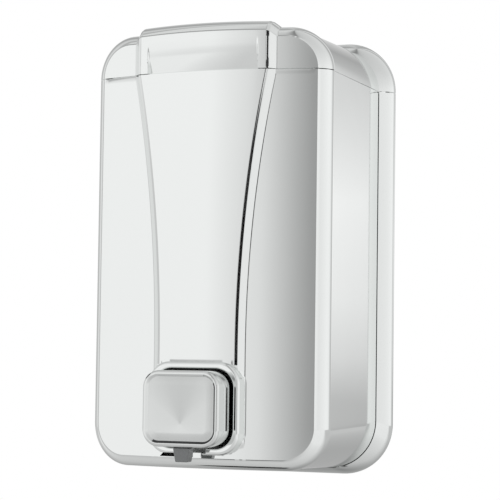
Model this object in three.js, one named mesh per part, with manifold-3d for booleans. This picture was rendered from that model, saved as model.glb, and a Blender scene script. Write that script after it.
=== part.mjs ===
// Wall-mounted push-button soap dispenser, in millimetres.
// The origin is the centre of the face that lies on the wall. +X is to the right for someone
// who looks at the front, +Y goes into the wall, so the front faces -Y, and +Z is up.
// The casing is three plated shells: a rear tray with a rounded rim, a front cover with a bowed
// panel, and a lid that tips up on two pins to fill the tank. The button drives a piston pump.

import * as THREE from "three";
import { mergeVertices } from "three/addons/utils/BufferGeometryUtils.js";
import Module from "manifold-3d";

const wasm = await Module();
wasm.setup();

// Casing: the rim is a rounded rectangle with a half width, a half height and a corner. The
// waist and the front are drawn in from it at the sides, at the top and foot, and at the corner.
const rimHalfWidth = 64.3;
const rimHalfHeight = 108;
const rimCorner = 25;
const rimRound = 6.5;
const waistInset = 6.1;
const waistInsetHigh = 3;
const waistCornerLess = 1;
const frontInset = 4.3;
const frontInsetHigh = 5.5;
const frontCornerLess = 5;
const frontDepth = 90;
const frontBow = 8.8;
const frameRound = 4.5;
const frameLand = 1.6;
const frameStep = 0.8;
const panelStep = 0.4;
const wall = 2.5;
const lidWall = 2.2;
const lidHeight = 25.8;
const partingGap = 0.3;
const fit = 0.3;

// Tie-shaped raised panel, which goes over the lid as a tongue
const raise = 3.1;
const flankRun = 3.1;
const tieNarrowHalf = 19.8;
const tieFlare = 13;
const tieStraight = 43;
const tieUnderCollar = 16.7;
const tieRoot = 1.2;

// Finger scoop in the lower edge of the tongue
const scoopMargin = 5.4;
const scoopEnd = 0.9;
const scoopDepth = 2.6;
const scoopHeight = 13;

// Button, its collar and the stroke
const buttonRise = 33.7;
const buttonHalfWidth = 19;
const buttonHalfHeight = 17.35;
const buttonCorner = 8;
const buttonStand = 14.2;
const buttonLength = 22;
const buttonRound = 1.4;
const buttonRimWidth = 0.5;
const buttonRimStep = 0.7;
const buttonDish = 0.5;
const buttonWall = 2;
const buttonSkin = 1.6;
const stroke = 11.5;
const openingGap = 0.9;
const openingRound = 0.6;
const collarBand = 3.1;
const collarStand = 5.5;
const collarRound = 1.6;
const collarLength = 8.3;
const collarSleeveLength = 1;

// Way for the nozzle through the collar, and the slot to its left at the panel's foot
const wayHalf = 6.8;
const wayDrop = 20.6;
const notchHeight = 2.1;
const notchLeftTop = 17.2;
const notchLeftBottom = 19.2;
const notchRight = 2;

// Nozzle and outlet valve
const nozzleTopHalfWidth = 4.1;
const nozzleTopHalfDepth = 2.9;
const nozzleTipHalfWidth = 3;
const nozzleTipHalfDepth = 2.7;
const nozzleDrop = 24.1;
const nozzlePlug = 2.5;
const nozzleBore = 1.6;
const valveGap = 0.35;
const valveBore = 0.7;
const valveLength = 4;

// Piston rod with its elbow block, spring plate and piston
const rodRadius = 3.4;
const rodBore = 1.4;
const elbowHalfWidth = 2.7;
const elbowHalfDepth = 2.3;
const elbowTop = 3.8;
const elbowFootGap = 0.45;
const springPlate = 10;
const springPlateThick = 1.8;
const pistonPlay = 0.4;
const pistonLength = 8;
const pistonInside = 22.5;
const grooveRadius = 4.4;
const grooveLength = 4.6;
const cupLipPlay = 0.2;
const cupRootPlay = 0.6;
const cupBody = 0.8;
const ribThick = 1.2;
const ribHalfHeight = 7.5;
const ribReach = 3.4;

// Return spring
const springRadius = 8.4;
const springWire = 0.6;
const springTurns = 8;

// Pump body
const pumpBore = 6.5;
const pumpWall = 2.1;
const pumpLength = 46;
const pumpEndWall = 2.5;
const pumpFlangeMargin = 3.5;
const pumpFlangeHalfHeight = 10.5;
const pumpFlangeCorner = 4;
const pumpFlangeThick = 2.2;
const pumpScrewSpread = 13.5;
const inletFromRear = 7;
const towerWall = 2;
const towerRise = 22.3;
const towerCup = 7;
const towerCupDepth = 6;
const portRadius = 3;

// Pump carrier
const sleeveGap = 0.4;
const sleeveWall = 1.5;
const carrierRoom = 7.5;
const carrierFloorThick = 2;
const carrierMouth = 7;
const carrierPlateStand = 8.5;
const carrierPlateThick = 2;
const carrierPlateMargin = 5;
const carrierPlateCorner = 5;
const tabHalfWidth = 11.3;
const tabStand = 6.2;
const tabThick = 1.5;
const tabDrop = 22.9;
const pumpBoss = 2.6;
const pumpBossLength = 3;

// Screws and the bosses that take them
const screwShank = 1.3;
const screwPilot = 1.6;
const screwHole = 1.8;
const screwHead = 2.7;
const screwHeadThick = 1.8;
const screwSlot = 0.7;
const screwSlotDepth = 0.8;
const bossRadius = 3.4;
const carrierBossSide = 7.8;
const carrierBossRise = 20.8;
const carrierBossDrop = 17.7;
const carrierScrewReach = 7;
const pumpScrewReach = 5.6;
const coverScrewInset = 20.3;
const coverScrewRise = 24;
const coverBoss = 4.2;
const coverBossRear = 9;
const coverHeadPocket = 3.2;
const coverScrewReach = 18;
const coverPilotDepth = 20;

// Tank, its gasket and the inlet valve
const tankSideGap = 5.7;
const tankFrontGap = 2.5;
const tankRear = 8.5;
const tankCorner = 12;
const tankWall = 1.8;
const tankTopGap = 6.2;
const tankFunnelHeight = 7;
const tankOverTower = 5.5;
const tankFlange = 2.8;
const tankFlangeThick = 2;
const spigotRadius = 4.6;
const spigotBore = 3;
const spigotLength = 4.2;
const gasketEdge = 0.2;
const gasketFlangeThick = 2.1;
const valveFlangeGap = 0.5;
const valveFlangeThick = 1.2;
const inletTubeGap = 0.3;
const inletTubeBore = 1.8;
const inletTubeLength = 7;
const ribWidth = 3;
const ribLength = 16;
const ribGrip = 1.2;
const tankRibFrontInset = 13.5;
const tankRibRearInset = 21.5;

// Rear tray
const plateThick = 2.5;
const grooveFloor = 3.5;
const skirtThick = 1.6;
const skirtHeight = 11;
const plateRiseMargin = 12;
const plateRiseBelow = 7.2;
const shelfHalf = 25;
const shelfReach = 12;
const shelfBelow = 1.5;
const shelfThick = 1.8;
const keyholeSpread = 30;
const keyholeBelow = 42.2;
const keyholeHead = 4.6;
const keyholeSlot = 2.3;
const keyholeRun = 9;

// Parting lip of the front cover, inside the lid
const lipRise = 3;
const lipRoot = 3.5;
const lipThick = 1.3;
const lipEmbed = 0.5;
const lipRear = 22;

// Hinge: its axis is the centre of the rim's bead, so the bead turns clear of the wall
const hingeCentre = 26;
const lugHalf = 3.5;
const lugRadius = 3.3;
const lugStem = 1.3;
const lugFootBelow = 17.5;
const lugShoulderBelow = 10.5;
const earThick = 3.5;
const earRadius = 5.5;
const pinRadius = 1.5;
const lugWindow = 1.8;

// Modelling
const overrun = 4;
const weld = 0.0001;
const cornerSteps = 6;
const casingCornerSteps = 8;
const roundSteps = 4;
const circleSteps = 32;
const boreSteps = 16;
const reliefSteps = 96;

// Heights and half widths that follow from the sizes above
const waistRearHalfWidth = rimHalfWidth - waistInset;
const waistRearHalfHeight = rimHalfHeight - waistInsetHigh;
const frontHalfWidth = rimHalfWidth - frontInset;
const frontHalfHeight = rimHalfHeight - frontInsetHigh;
const partingHeight = rimHalfHeight - lidHeight;
const buttonHeight = buttonRise - rimHalfHeight;
const tieWideHalf = tieNarrowHalf + tieFlare;
const tieBottom = buttonHeight - tieUnderCollar;
const tieTaperStart = tieBottom + tieStraight;
const scoopHalf = tieWideHalf - scoopMargin;
const openingHalfWidth = buttonHalfWidth + openingGap;
const openingHalfHeight = buttonHalfHeight + openingGap;
const openingCorner = buttonCorner + openingGap;
const collarHalfWidth = openingHalfWidth + collarBand;
const collarHalfHeight = openingHalfHeight + collarBand;
const collarCorner = openingCorner + collarRound;
const wayFloor = buttonHeight - wayDrop;
const notchTop = wayFloor;
const notchBottom = notchTop - notchHeight;
const nozzleTip = buttonHeight - nozzleDrop;
const elbowFoot = buttonHalfHeight - buttonWall - elbowFootGap;
const sleeveHalfWidth = buttonHalfWidth + sleeveGap;
const sleeveHalfHeight = buttonHalfHeight + sleeveGap;
const sleeveCorner = buttonCorner + sleeveGap;
const towerTop = buttonHeight + towerRise;
const towerFloor = towerTop - towerCupDepth;
const towerRadius = towerCup + towerWall;
const carrierBossSpread = sleeveHalfWidth + carrierBossSide;
const carrierBossTop = buttonHeight + carrierBossRise;
const carrierBossBottom = buttonHeight - carrierBossDrop;
const carrierPlateHalfWidth = carrierBossSpread + carrierPlateMargin;
const carrierPlateTop = carrierBossTop + carrierPlateMargin;
const carrierPlateBottom = carrierBossBottom - carrierPlateMargin;
const tabBottom = buttonHeight - tabDrop;
const coverScrewSpread = rimHalfWidth - coverScrewInset;
const coverScrewHeight = coverScrewRise - rimHalfHeight;
const tankHalfWidth = waistRearHalfWidth - tankSideGap;
const tankTop = partingHeight - tankTopGap;
const tankFunnel = towerTop + tankOverTower;
const tankFloor = tankFunnel + tankFunnelHeight;
const spigotEnd = towerTop - spigotLength;
const shelfTop = tankFloor - shelfBelow;
const keyholeHeight = partingHeight - keyholeBelow;
const hingeHeight = rimHalfHeight - rimRound;
const plateRiseTop = hingeHeight - plateRiseBelow;
const lugFoot = hingeHeight - lugFootBelow;
const lugShoulder = hingeHeight - lugShoulderBelow;
const plateRiseHalf = hingeCentre + plateRiseMargin;
const skirtRelief = hingeHeight - partingHeight;
const pinHole = pinRadius + fit;
const pumpFlangeHalfWidth = pumpScrewSpread + pumpFlangeMargin;
const pistonRadius = pumpBore - pistonPlay;
const cupLip = pumpBore - cupLipPlay;
const cupRoot = pumpBore - cupRootPlay;
const gasketFlange = towerRadius - gasketEdge;
const gasketSleeve = towerCup - fit;
const valveFlange = towerCup - valveFlangeGap;
const inletTube = portRadius - inletTubeGap;
const valveTube = nozzleBore - valveGap;

// Depths from the wall that follow from the sizes above
const collarFace = frontDepth + frontBow + collarStand;
const collarFoot = collarFace - collarLength;
const collarRear = collarFoot - collarSleeveLength;
const buttonFace = collarFace + buttonStand;
const buttonRear = buttonFace - buttonLength;
const nozzleDepth = buttonFace - buttonSkin - buttonRimStep - fit - elbowHalfDepth;
const carrierFloor = buttonRear - stroke - carrierRoom;
const carrierPlateFront = carrierFloor + carrierPlateStand;
const sleeveFront = collarRear - fit;
const tabFront = carrierPlateFront + tabStand;
const pistonRear = carrierFloor - pistonInside;
const pumpRear = carrierFloor - pumpLength;
const inletDepth = pumpRear + inletFromRear;
const tankFront = frontDepth - tankFrontGap;
const tankRibFront = tankFront - tankRibFrontInset;
const tankRibRear = tankRear + tankRibRearInset;

const tongueShares = [0.25, 0.5, 0.75, 1];
const tieShares = [-1, -0.75, -0.5, -0.25, 0, 0.25, 0.5, 0.75, 1];
const scoopShares = [-1, -0.6, -0.2, 0.2, 0.6, 1];
const dishShares = [0.35, 0.7];
const scoopSwellShare = 1.25;
const rightAngle = Math.PI / 2;

const plated = new THREE.MeshStandardMaterial({ color: 0xd9dcdb, roughness: 0.1, metalness: 1 });
const satinPlated = new THREE.MeshStandardMaterial({ color: 0xcfd2d1, roughness: 0.25, metalness: 1 });
const lightGrey = new THREE.MeshStandardMaterial({ color: 0xc4c6c5, roughness: 0.45, metalness: 0 });
const midGrey = new THREE.MeshStandardMaterial({ color: 0x7b7d7d, roughness: 0.3, metalness: 0 });
const milky = new THREE.MeshStandardMaterial({ color: 0xe9ebe8, roughness: 0.4, metalness: 0 });
const whitePlastic = new THREE.MeshStandardMaterial({ color: 0xf1f1ee, roughness: 0.4, metalness: 0 });
const rubber = new THREE.MeshStandardMaterial({ color: 0x2b2c2d, roughness: 0.7, metalness: 0 });
const steel = new THREE.MeshStandardMaterial({ color: 0xb9bcbe, roughness: 0.3, metalness: 1 });

const rim = { w: rimHalfWidth, h: rimHalfHeight, r: rimCorner };
const waistRear = { w: waistRearHalfWidth, h: waistRearHalfHeight, r: rimCorner - waistCornerLess };
const front = { w: frontHalfWidth, h: frontHalfHeight, r: rimCorner - frontCornerLess };
const waistFront = shrink(front, frameStep);
const plug = shrink(waistRear, fit);

const group = new THREE.Group();

// An outline drawn in by a distance.
function shrink({ w, h, r }, by) {
  return { w: w - by, h: h - by, r: r - by };
}

// An outline a share of the way from one to another.
function mix(a, b, share) {
  return {
    w: a.w + (b.w - a.w) * share,
    h: a.h + (b.h - a.h) * share,
    r: a.r + (b.r - a.r) * share,
  };
}

// A geometry as a manifold solid, with its faces pointing out.
function solidOf(geometry) {
  const bare = geometry.index ? geometry.toNonIndexed() : geometry.clone();
  bare.deleteAttribute("normal");
  bare.deleteAttribute("uv");
  const merged = mergeVertices(bare, weld);
  const index = merged.index.array;
  const out = [];
  const inward = [];
  for (let i = 0; i < index.length; i += 3) {
    const [a, b, c] = [index[i], index[i + 1], index[i + 2]];
    if (a !== b && b !== c && c !== a) {
      out.push(a, b, c);
      inward.push(a, c, b);
    }
  }
  const vertProperties = merged.attributes.position.array;
  const make = (list) =>
    new wasm.Manifold(
      new wasm.Mesh({ numProp: 3, vertProperties, triVerts: Uint32Array.from(list) }),
    );
  const made = make(out);
  return made.volume() < 0 ? make(inward) : made;
}

// A closed skin over rings of equal count. Each cap is a list of polygons of ring indices.
function loft(rings, cap) {
  const count = rings[0].length;
  const index = [];
  const face = (...corners) => {
    for (let k = 2; k < corners.length; k++) index.push(corners[0], corners[k - 1], corners[k]);
  };
  for (let k = 0; k + 1 < rings.length; k++)
    for (let i = 0; i < count; i++) {
      const next = (i + 1) % count;
      const [low, high] = [k * count, (k + 1) * count];
      face(low + i, low + next, high + next, high + i);
    }
  const last = (rings.length - 1) * count;
  for (const corners of cap) {
    face(...corners.map((i) => last + i));
    face(...corners.slice().reverse());
  }
  const geometry = new THREE.BufferGeometry();
  geometry.setAttribute("position", new THREE.Float32BufferAttribute(rings.flat(2), 3));
  geometry.setIndex(index);
  return solidOf(geometry);
}

// The cap of a flat ring without hollows.
function flatCap(count) {
  return [Array.from({ length: count }, (_, i) => i)];
}

// Upright strips between the upper and lower points of a casing ring.
function stripCap(count) {
  const half = count / 2;
  const mirror = (i) => (half - i + count) % count;
  const strips = [];
  for (const start of [0, half])
    for (let i = start; i < start + half / 2 - 1 / 2; i++) {
      const next = (i + 1) % count;
      strips.push([i, next, mirror(next), mirror(i)]);
    }
  return strips;
}

// Points of a rounded rectangle, clockwise from the top right corner.
function roundedOutline(w, h, r, steps = cornerSteps) {
  const points = [];
  const corners = [
    [1, 1, 1],
    [1, -1, 0],
    [-1, -1, -1],
    [-1, 1, -2],
  ];
  for (const [sideX, sideZ, turn] of corners)
    for (let k = 0; k <= steps; k++) {
      const a = rightAngle * (turn - k / steps);
      points.push([sideX * (w - r) + r * Math.cos(a), sideZ * (h - r) + r * Math.sin(a)]);
    }
  return points;
}

function shapeOf(points) {
  return new THREE.Shape(points.map(([x, y]) => new THREE.Vector2(x, y)));
}

function extruded(points, depth) {
  return new THREE.ExtrudeGeometry(shapeOf(points), { depth, bevelEnabled: false });
}

// Points of an outline at a height on Z, extruded along Y from one depth to another.
function prismY(points, from, to, height = 0) {
  const geometry = extruded(points, to - from);
  geometry.rotateX(rightAngle);
  geometry.translate(0, to, height);
  return solidOf(geometry);
}

// A side view outline (y, z), extruded along X.
function prismX(points, from, to) {
  const geometry = extruded(points, to - from);
  const basis = new THREE.Matrix4().makeBasis(
    new THREE.Vector3(0, 1, 0),
    new THREE.Vector3(0, 0, 1),
    new THREE.Vector3(1, 0, 0),
  );
  geometry.applyMatrix4(basis);
  geometry.translate(from, 0, 0);
  return solidOf(geometry);
}

function block(x0, x1, y0, y1, z0, z1) {
  const geometry = new THREE.BoxGeometry(x1 - x0, y1 - y0, z1 - z0);
  geometry.translate((x0 + x1) / 2, (y0 + y1) / 2, (z0 + z1) / 2);
  return solidOf(geometry);
}

function rodX(radius, from, to, y, z, steps = boreSteps) {
  const geometry = new THREE.CylinderGeometry(radius, radius, to - from, steps);
  geometry.rotateZ(rightAngle);
  geometry.translate((from + to) / 2, y, z);
  return solidOf(geometry);
}

function rodY(radius, from, to, x, z, steps = boreSteps) {
  const geometry = new THREE.CylinderGeometry(radius, radius, to - from, steps);
  geometry.translate(x, (from + to) / 2, z);
  return solidOf(geometry);
}

function rodZ(radius, from, to, x, y, steps = boreSteps) {
  const geometry = new THREE.CylinderGeometry(radius, radius, to - from, steps);
  geometry.rotateX(rightAngle);
  geometry.translate(x, y, (from + to) / 2);
  return solidOf(geometry);
}

// A profile of [radius, y] turned about the pump's axis.
function turnedY(profile, steps = circleSteps) {
  const points = profile.map(([radius, y]) => new THREE.Vector2(radius, y));
  const geometry = new THREE.LatheGeometry(points, steps);
  geometry.translate(0, 0, buttonHeight);
  return solidOf(geometry);
}

// A profile of [radius, z] turned about the inlet's upright axis.
function turnedZ(profile, depth, steps = circleSteps) {
  const points = profile.map(([radius, z]) => new THREE.Vector2(radius, z));
  const geometry = new THREE.LatheGeometry(points, steps);
  geometry.rotateX(rightAngle);
  geometry.translate(0, -depth, 0);
  return solidOf(geometry);
}

function add(name, solid, material) {
  const { vertProperties, triVerts } = solid.getMesh();
  const geometry = new THREE.BufferGeometry();
  geometry.setAttribute("position", new THREE.BufferAttribute(vertProperties, 3));
  geometry.setIndex(new THREE.BufferAttribute(triVerts, 1));
  geometry.computeVertexNormals();
  const mesh = new THREE.Mesh(geometry, material);
  mesh.name = name;
  group.add(mesh);
}

// Depth (y) of the bowed front at x: an arc through the panel's middle and its side edges.
function faceAt(x) {
  const radius = (frontHalfWidth ** 2 + frontBow ** 2) / (2 * frontBow);
  return radius - frontDepth - frontBow - Math.sqrt(radius ** 2 - x ** 2);
}

// How far the tongue stands over the lid at x, with its sloping flanks.
function tongueAt(x) {
  const over = Math.abs(x) - tieWideHalf;
  return THREE.MathUtils.clamp(raise - (over * raise) / flankRun, 0, raise);
}

// A ring of the casing: the outline of a size, with points where the tongue's edges run.
function casingRing({ w, h, r }, depthAt, liftShare = 0) {
  const stations = tongueShares.map((share) => share * tieWideHalf);
  stations.push(tieWideHalf + flankRun);
  const last = stations[stations.length - 1];
  const quarter = stations.map((x) => {
    const over = Math.max(0, x - (w - r));
    return [x, h - r + Math.sqrt(r * r - over * over)];
  });
  const firstX = Math.max(w - r, last + panelStep);
  const start = Math.acos((firstX - (w - r)) / r);
  for (let k = 0; k <= casingCornerSteps; k++) {
    const a = start * (1 - k / casingCornerSteps);
    quarter.push([w - r + r * Math.cos(a), h - r + r * Math.sin(a)]);
  }
  const back = quarter.slice().reverse();
  const flat = [
    [0, h],
    ...quarter,
    ...back.map(([x, z]) => [x, -z]),
    [0, -h],
    ...quarter.map(([x, z]) => [-x, -z]),
    ...back.map(([x, z]) => [-x, z]),
  ];
  return flat.map(([x, z]) => {
    const lift = liftShare * tongueAt(x);
    return [x, depthAt(x) - lift, z > 0 ? z + lift : z];
  });
}

const level = (depth) => () => -depth;
const behindFace = (distance) => (x) => faceAt(x) + distance;

// The rim's bead: a half round from the wall to the waist.
function beadRings(size, inner, round, centre) {
  const rings = [];
  for (let k = 0; k <= roundSteps; k++) {
    const a = (rightAngle * k) / roundSteps;
    const y = centre - round * Math.cos(a);
    rings.push(casingRing(shrink(size, round * (1 - Math.sin(a))), level(y)));
  }
  for (let k = 1; k <= roundSteps; k++) {
    const a = (rightAngle * k) / roundSteps;
    const y = centre + round * Math.sin(a);
    rings.push(casingRing(mix(size, inner, 1 - Math.cos(a)), level(y)));
  }
  return rings;
}

// The frame round the panel: a land, a quarter round and the step up to the panel.
function frameRings(liftShare) {
  const rings = [
    casingRing(waistFront, behindFace(frameRound + frameLand + frameStep), liftShare),
    casingRing(front, behindFace(frameRound + frameLand), liftShare),
  ];
  for (let k = 0; k <= roundSteps; k++) {
    const a = (rightAngle * k) / roundSteps;
    const size = shrink(front, frameRound * (1 - Math.cos(a)));
    rings.push(casingRing(size, behindFace(panelStep + frameRound * (1 - Math.sin(a))), liftShare));
  }
  rings.push(casingRing(shrink(front, frameRound + panelStep), behindFace(0), liftShare));
  return rings;
}

function casingLoft(rings) {
  return loft(rings, stripCap(rings[0].length));
}

// The space inside the waist and the front, a wall's thickness in.
function cavity(thickness, rearSize = plug, rearDepth = -overrun) {
  const inFront = shrink(waistFront, thickness);
  return casingLoft([
    casingRing(shrink(rearSize, thickness), level(rearDepth)),
    casingRing(shrink(rearSize, thickness), level(rimRound + rimRound)),
    casingRing(inFront, behindFace(thickness + frameRound)),
    casingRing(shrink(inFront, frameRound), behindFace(thickness)),
  ]);
}

// Half width of the raised panel at a height: an arc that runs into straight sides.
function tieHalfAt(z) {
  const length = partingHeight - tieTaperStart;
  const flare = tieWideHalf - tieNarrowHalf;
  const radius = (length ** 2 + flare ** 2) / (2 * flare);
  const above = Math.max(0, z - tieTaperStart);
  return tieNarrowHalf + radius - Math.sqrt(radius ** 2 - above ** 2);
}

// The raised panel as a band that lies on the bowed front, from its foot to a top height.
function tieBand(top, standing, root, inset) {
  const heights = [tieBottom, tieTaperStart];
  const steps = 12;
  for (let k = 1; k <= steps; k++)
    heights.push(tieTaperStart + ((partingHeight - tieTaperStart) * k) / steps);
  heights.push(top);
  const rings = heights.map((z) => {
    const half = tieHalfAt(Math.min(z, partingHeight)) - inset;
    const foot = half + flankRun + root;
    const outer = tieShares.map((share) => [share * half, faceAt(share * half) - standing, z]);
    const inner = tieShares.map((share) => [share * half, faceAt(share * half) + root, z]);
    const left = [-foot, faceAt(foot) + root, z];
    const right = [foot, faceAt(foot) + root, z];
    return [left, ...outer, right, ...inner.reverse()];
  });
  const across = tieShares.length;
  const cap = [
    [0, 1, 2 * across + 1],
    [across, across + 1, across + 2],
  ];
  for (let i = 1; i < across; i++)
    cap.push([i, i + 1, 2 * across + 1 - i, 2 * across + 2 - i]);
  return loft(rings, cap);
}

// A ring for a piece round the button, drawn in from a size at a depth.
function buttonRing(w, h, r, depth) {
  return roundedOutline(w, h, r).map(([x, z]) => [x, -depth, z + buttonHeight]);
}

function buttonLoft(rings) {
  return loft(rings, flatCap(rings[0].length));
}

function collarRing() {
  const [w, h, r] = [collarHalfWidth, collarHalfHeight, collarCorner];
  const rings = [buttonRing(w, h, r, collarFoot)];
  for (let k = 0; k <= roundSteps; k++) {
    const a = (rightAngle * k) / roundSteps;
    const by = collarRound * (1 - Math.cos(a));
    const depth = collarFace - collarRound * (1 - Math.sin(a));
    rings.push(buttonRing(w - by, h - by, r - by, depth));
  }
  return buttonLoft(rings);
}

function openingCut() {
  const [w, h, r] = [openingHalfWidth, openingHalfHeight, openingCorner];
  const rings = [
    buttonRing(w, h, r, carrierPlateFront),
    buttonRing(w, h, r, collarFace - openingRound),
    buttonRing(w + openingRound, h + openingRound, r + openingRound, collarFace),
    buttonRing(w + openingRound, h + openingRound, r + openingRound, collarFace + overrun),
  ];
  return buttonLoft(rings);
}

// The sleeve behind the collar's opening, as deep as the collar's rear.
function collarSleeve() {
  const [w, h, r] = [collarHalfWidth, collarHalfHeight, collarCorner];
  return buttonLoft([buttonRing(w, h, r, collarRear), buttonRing(w, h, r, collarFoot + overrun / 2)]);
}

// The nozzle's way through the collar's foot, and the dark slot beside it in the panel's foot.
function notchCut() {
  const trapezoid = [
    [-notchLeftTop, notchTop],
    [-notchRight, notchTop],
    [-notchRight, notchBottom],
    [-notchLeftBottom, notchBottom],
  ];
  const [front, rear] = [-collarFace - overrun, -collarRear + overrun];
  const slot = prismY(trapezoid, front, rear);
  const inside = buttonHeight - openingHalfHeight / 2;
  const way = block(-wayHalf, wayHalf, front, rear, wayFloor, inside);
  const under = wayFloor - collarBand;
  const travel = block(-wayHalf, wayHalf, front, faceAt(wayHalf), under, inside);
  return slot.add(way).add(travel);
}

function coverBosses() {
  let bosses = null;
  const join = (solid) => {
    bosses = bosses ? bosses.add(solid) : solid;
  };
  for (const side of [-1, 1]) {
    for (const z of [carrierBossTop, carrierBossBottom]) {
      const x = side * carrierBossSpread;
      join(rodY(bossRadius, faceAt(x) + wall / 2, -carrierPlateFront - fit, x, z));
    }
    const x = side * coverScrewSpread;
    join(rodY(coverBoss, faceAt(x) + wall, -coverBossRear - fit, x, coverScrewHeight));
    for (const depth of [tankRibFront, tankRibRear]) {
      const inner = tankHalfWidth + tankFlange - ribGrip;
      const outer = waistRearHalfWidth - fit - wall / 2;
      const top = tankTop - tankFlangeThick - fit;
      const [low, high] = side < 0 ? [-outer, -inner] : [inner, outer];
      const [y0, y1] = [-depth - ribWidth / 2, -depth + ribWidth / 2];
      join(block(low, high, y0, y1, top - ribLength, top));
    }
  }
  return bosses;
}

function coverPilots() {
  let holes = null;
  for (const side of [-1, 1]) {
    for (const z of [carrierBossTop, carrierBossBottom]) {
      const x = side * carrierBossSpread;
      const end = -carrierPlateFront - carrierScrewReach - fit;
      const hole = rodY(screwPilot, end, -carrierPlateFront + overrun, x, z);
      holes = holes ? holes.add(hole) : hole;
    }
    const x = side * coverScrewSpread;
    const end = -coverBossRear - coverPilotDepth;
    holes = holes.add(rodY(screwPilot, end, -coverBossRear + overrun, x, coverScrewHeight));
  }
  return holes;
}

// The lip that the lid closes over: it stands on the cover's wall at the front and the sides.
function partingLip() {
  const clear = lidWall + fit + partingGap;
  const inner = cavity(clear + lipThick);
  const low = partingHeight - lipRoot;
  const high = partingHeight + lipRise;
  const keep = (z0, z1) =>
    block(-rimHalfWidth, rimHalfWidth, -buttonFace, -lipRear, z0, z1);
  const foot = cavity(wall - lipEmbed).subtract(inner);
  const lip = cavity(clear).subtract(inner);
  const footTop = partingHeight - partingGap / 2 - lipEmbed;
  return foot.intersect(keep(low, footTop)).add(lip.intersect(keep(low, high)));
}

function frontCover() {
  const outer = casingLoft([
    casingRing(plug, level(grooveFloor + fit)),
    casingRing(plug, level(rimRound + rimRound)),
    ...frameRings(0),
  ]);
  const tie = tieBand(partingHeight + overrun, raise, tieRoot, 0);
  const tieHollow = tieBand(partingHeight + overrun, raise - wall, wall + tieRoot, wall);
  const below = block(
    -rimHalfWidth,
    rimHalfWidth,
    -buttonFace,
    overrun,
    -rimHalfHeight,
    partingHeight - partingGap / 2,
  );
  return outer
    .add(tie)
    .add(collarRing())
    .subtract(cavity(wall))
    .subtract(tieHollow)
    .add(collarSleeve())
    .intersect(below)
    .add(coverBosses())
    .add(partingLip())
    .subtract(openingCut())
    .subtract(notchCut())
    .subtract(coverPilots());
}

function rearCover() {
  const bead = casingLoft(beadRings(rim, waistRear, rimRound, rimRound));
  const full = rimRound + rimRound + overrun;
  const grooveOuter = casingLoft([
    casingRing(waistRear, level(grooveFloor)),
    casingRing(waistRear, level(full)),
  ]);
  const skirtSize = shrink(plug, wall + fit);
  const skirt = casingLoft([
    casingRing(skirtSize, level(0)),
    casingRing(skirtSize, level(skirtHeight)),
  ]);
  const pocketSize = shrink(skirtSize, skirtThick);
  const pocket = casingLoft([
    casingRing(pocketSize, level(plateThick)),
    casingRing(pocketSize, level(full)),
  ]);
  const above = block(
    -rimHalfWidth - overrun,
    rimHalfWidth + overrun,
    -full,
    overrun,
    partingHeight - partingGap / 2,
    rimHalfHeight + overrun,
  );
  const rise = block(-plateRiseHalf, plateRiseHalf, -plateThick, 0, partingHeight - overrun, plateRiseTop);
  const shelf = block(-shelfHalf, shelfHalf, -shelfReach, -plateThick / 2, shelfTop - shelfThick, shelfTop);
  let made = bead.subtract(grooveOuter.subtract(skirt)).subtract(pocket).subtract(above);
  made = made.add(rise).add(shelf);
  for (const side of [-1, 1]) {
    const x = side * coverScrewSpread;
    made = made
      .add(rodY(coverBoss, -coverBossRear, -plateThick / 2, x, coverScrewHeight))
      .subtract(rodY(screwHole, -coverBossRear - overrun, overrun, x, coverScrewHeight))
      .subtract(rodY(screwHead + fit, -coverHeadPocket, overrun, x, coverScrewHeight))
      .add(hingeLug(side * hingeCentre))
      .subtract(keyhole(side * keyholeSpread));
  }
  return made;
}

// A keyhole in the wall plate: the screw's head goes in below and its shank slides up.
function keyhole(x) {
  const head = rodY(keyholeHead, -plateThick - overrun, overrun, x, keyholeHeight);
  const slot = block(
    x - keyholeSlot,
    x + keyholeSlot,
    -plateThick - overrun,
    overrun,
    keyholeHeight,
    keyholeHeight + keyholeRun,
  );
  const end = rodY(keyholeSlot, -plateThick - overrun, overrun, x, keyholeHeight + keyholeRun);
  return head.add(slot).add(end);
}

// A hinge lug: it leaves the wall plate low down and carries the pin inside the lid's bead.
function hingeLug(x) {
  const front = -rimRound - lugRadius;
  const rearStem = -rimRound + lugStem;
  const profile = [
    [-plateThick / 2, lugFoot],
    [front, lugShoulder],
    [front, hingeHeight],
  ];
  for (let k = 1; k < boreSteps; k++) {
    const a = Math.PI * (1 - k / boreSteps);
    profile.push([-rimRound + lugRadius * Math.cos(a), hingeHeight + lugRadius * Math.sin(a)]);
  }
  profile.push([-rimRound + lugRadius, hingeHeight]);
  profile.push([rearStem, hingeHeight - lugRadius]);
  profile.push([rearStem, plateRiseTop]);
  profile.push([-plateThick / 2, plateRiseTop]);
  const lug = prismX(profile, x - lugHalf, x + lugHalf);
  return lug.subtract(rodX(pinHole, x - overrun, x + overrun, -rimRound, hingeHeight));
}

// The scoop follows the bow of the tongue, with steep ends, and runs out at its top.
function fingerScoop() {
  const stations = [
    [-scoopHalf - scoopEnd, 0],
    ...scoopShares.map((share) => [share * scoopHalf, 1]),
    [scoopHalf + scoopEnd, 0],
  ];
  const steps = 6;
  const rings = stations.map(([x, share]) => {
    const surface = faceAt(x) - raise;
    const low = [x, surface + share * scoopDepth, partingHeight - overrun];
    const ring = [[x, surface - overrun, partingHeight - overrun], low];
    for (let k = 0; k <= steps; k++) {
      const down = 1 - k / steps;
      const depth = share * scoopDepth * down ** scoopSwellShare;
      ring.push([x, surface + depth, partingHeight + (scoopHeight * k) / steps]);
    }
    ring.push([x, surface - overrun, partingHeight + scoopHeight]);
    return ring;
  });
  const count = rings[0].length;
  const cap = [];
  for (let k = 1; k + 2 < count; k++) cap.push([0, k, k + 1]);
  cap.push([0, count - 2, count - 1]);
  return loft(rings, cap);
}

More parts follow.
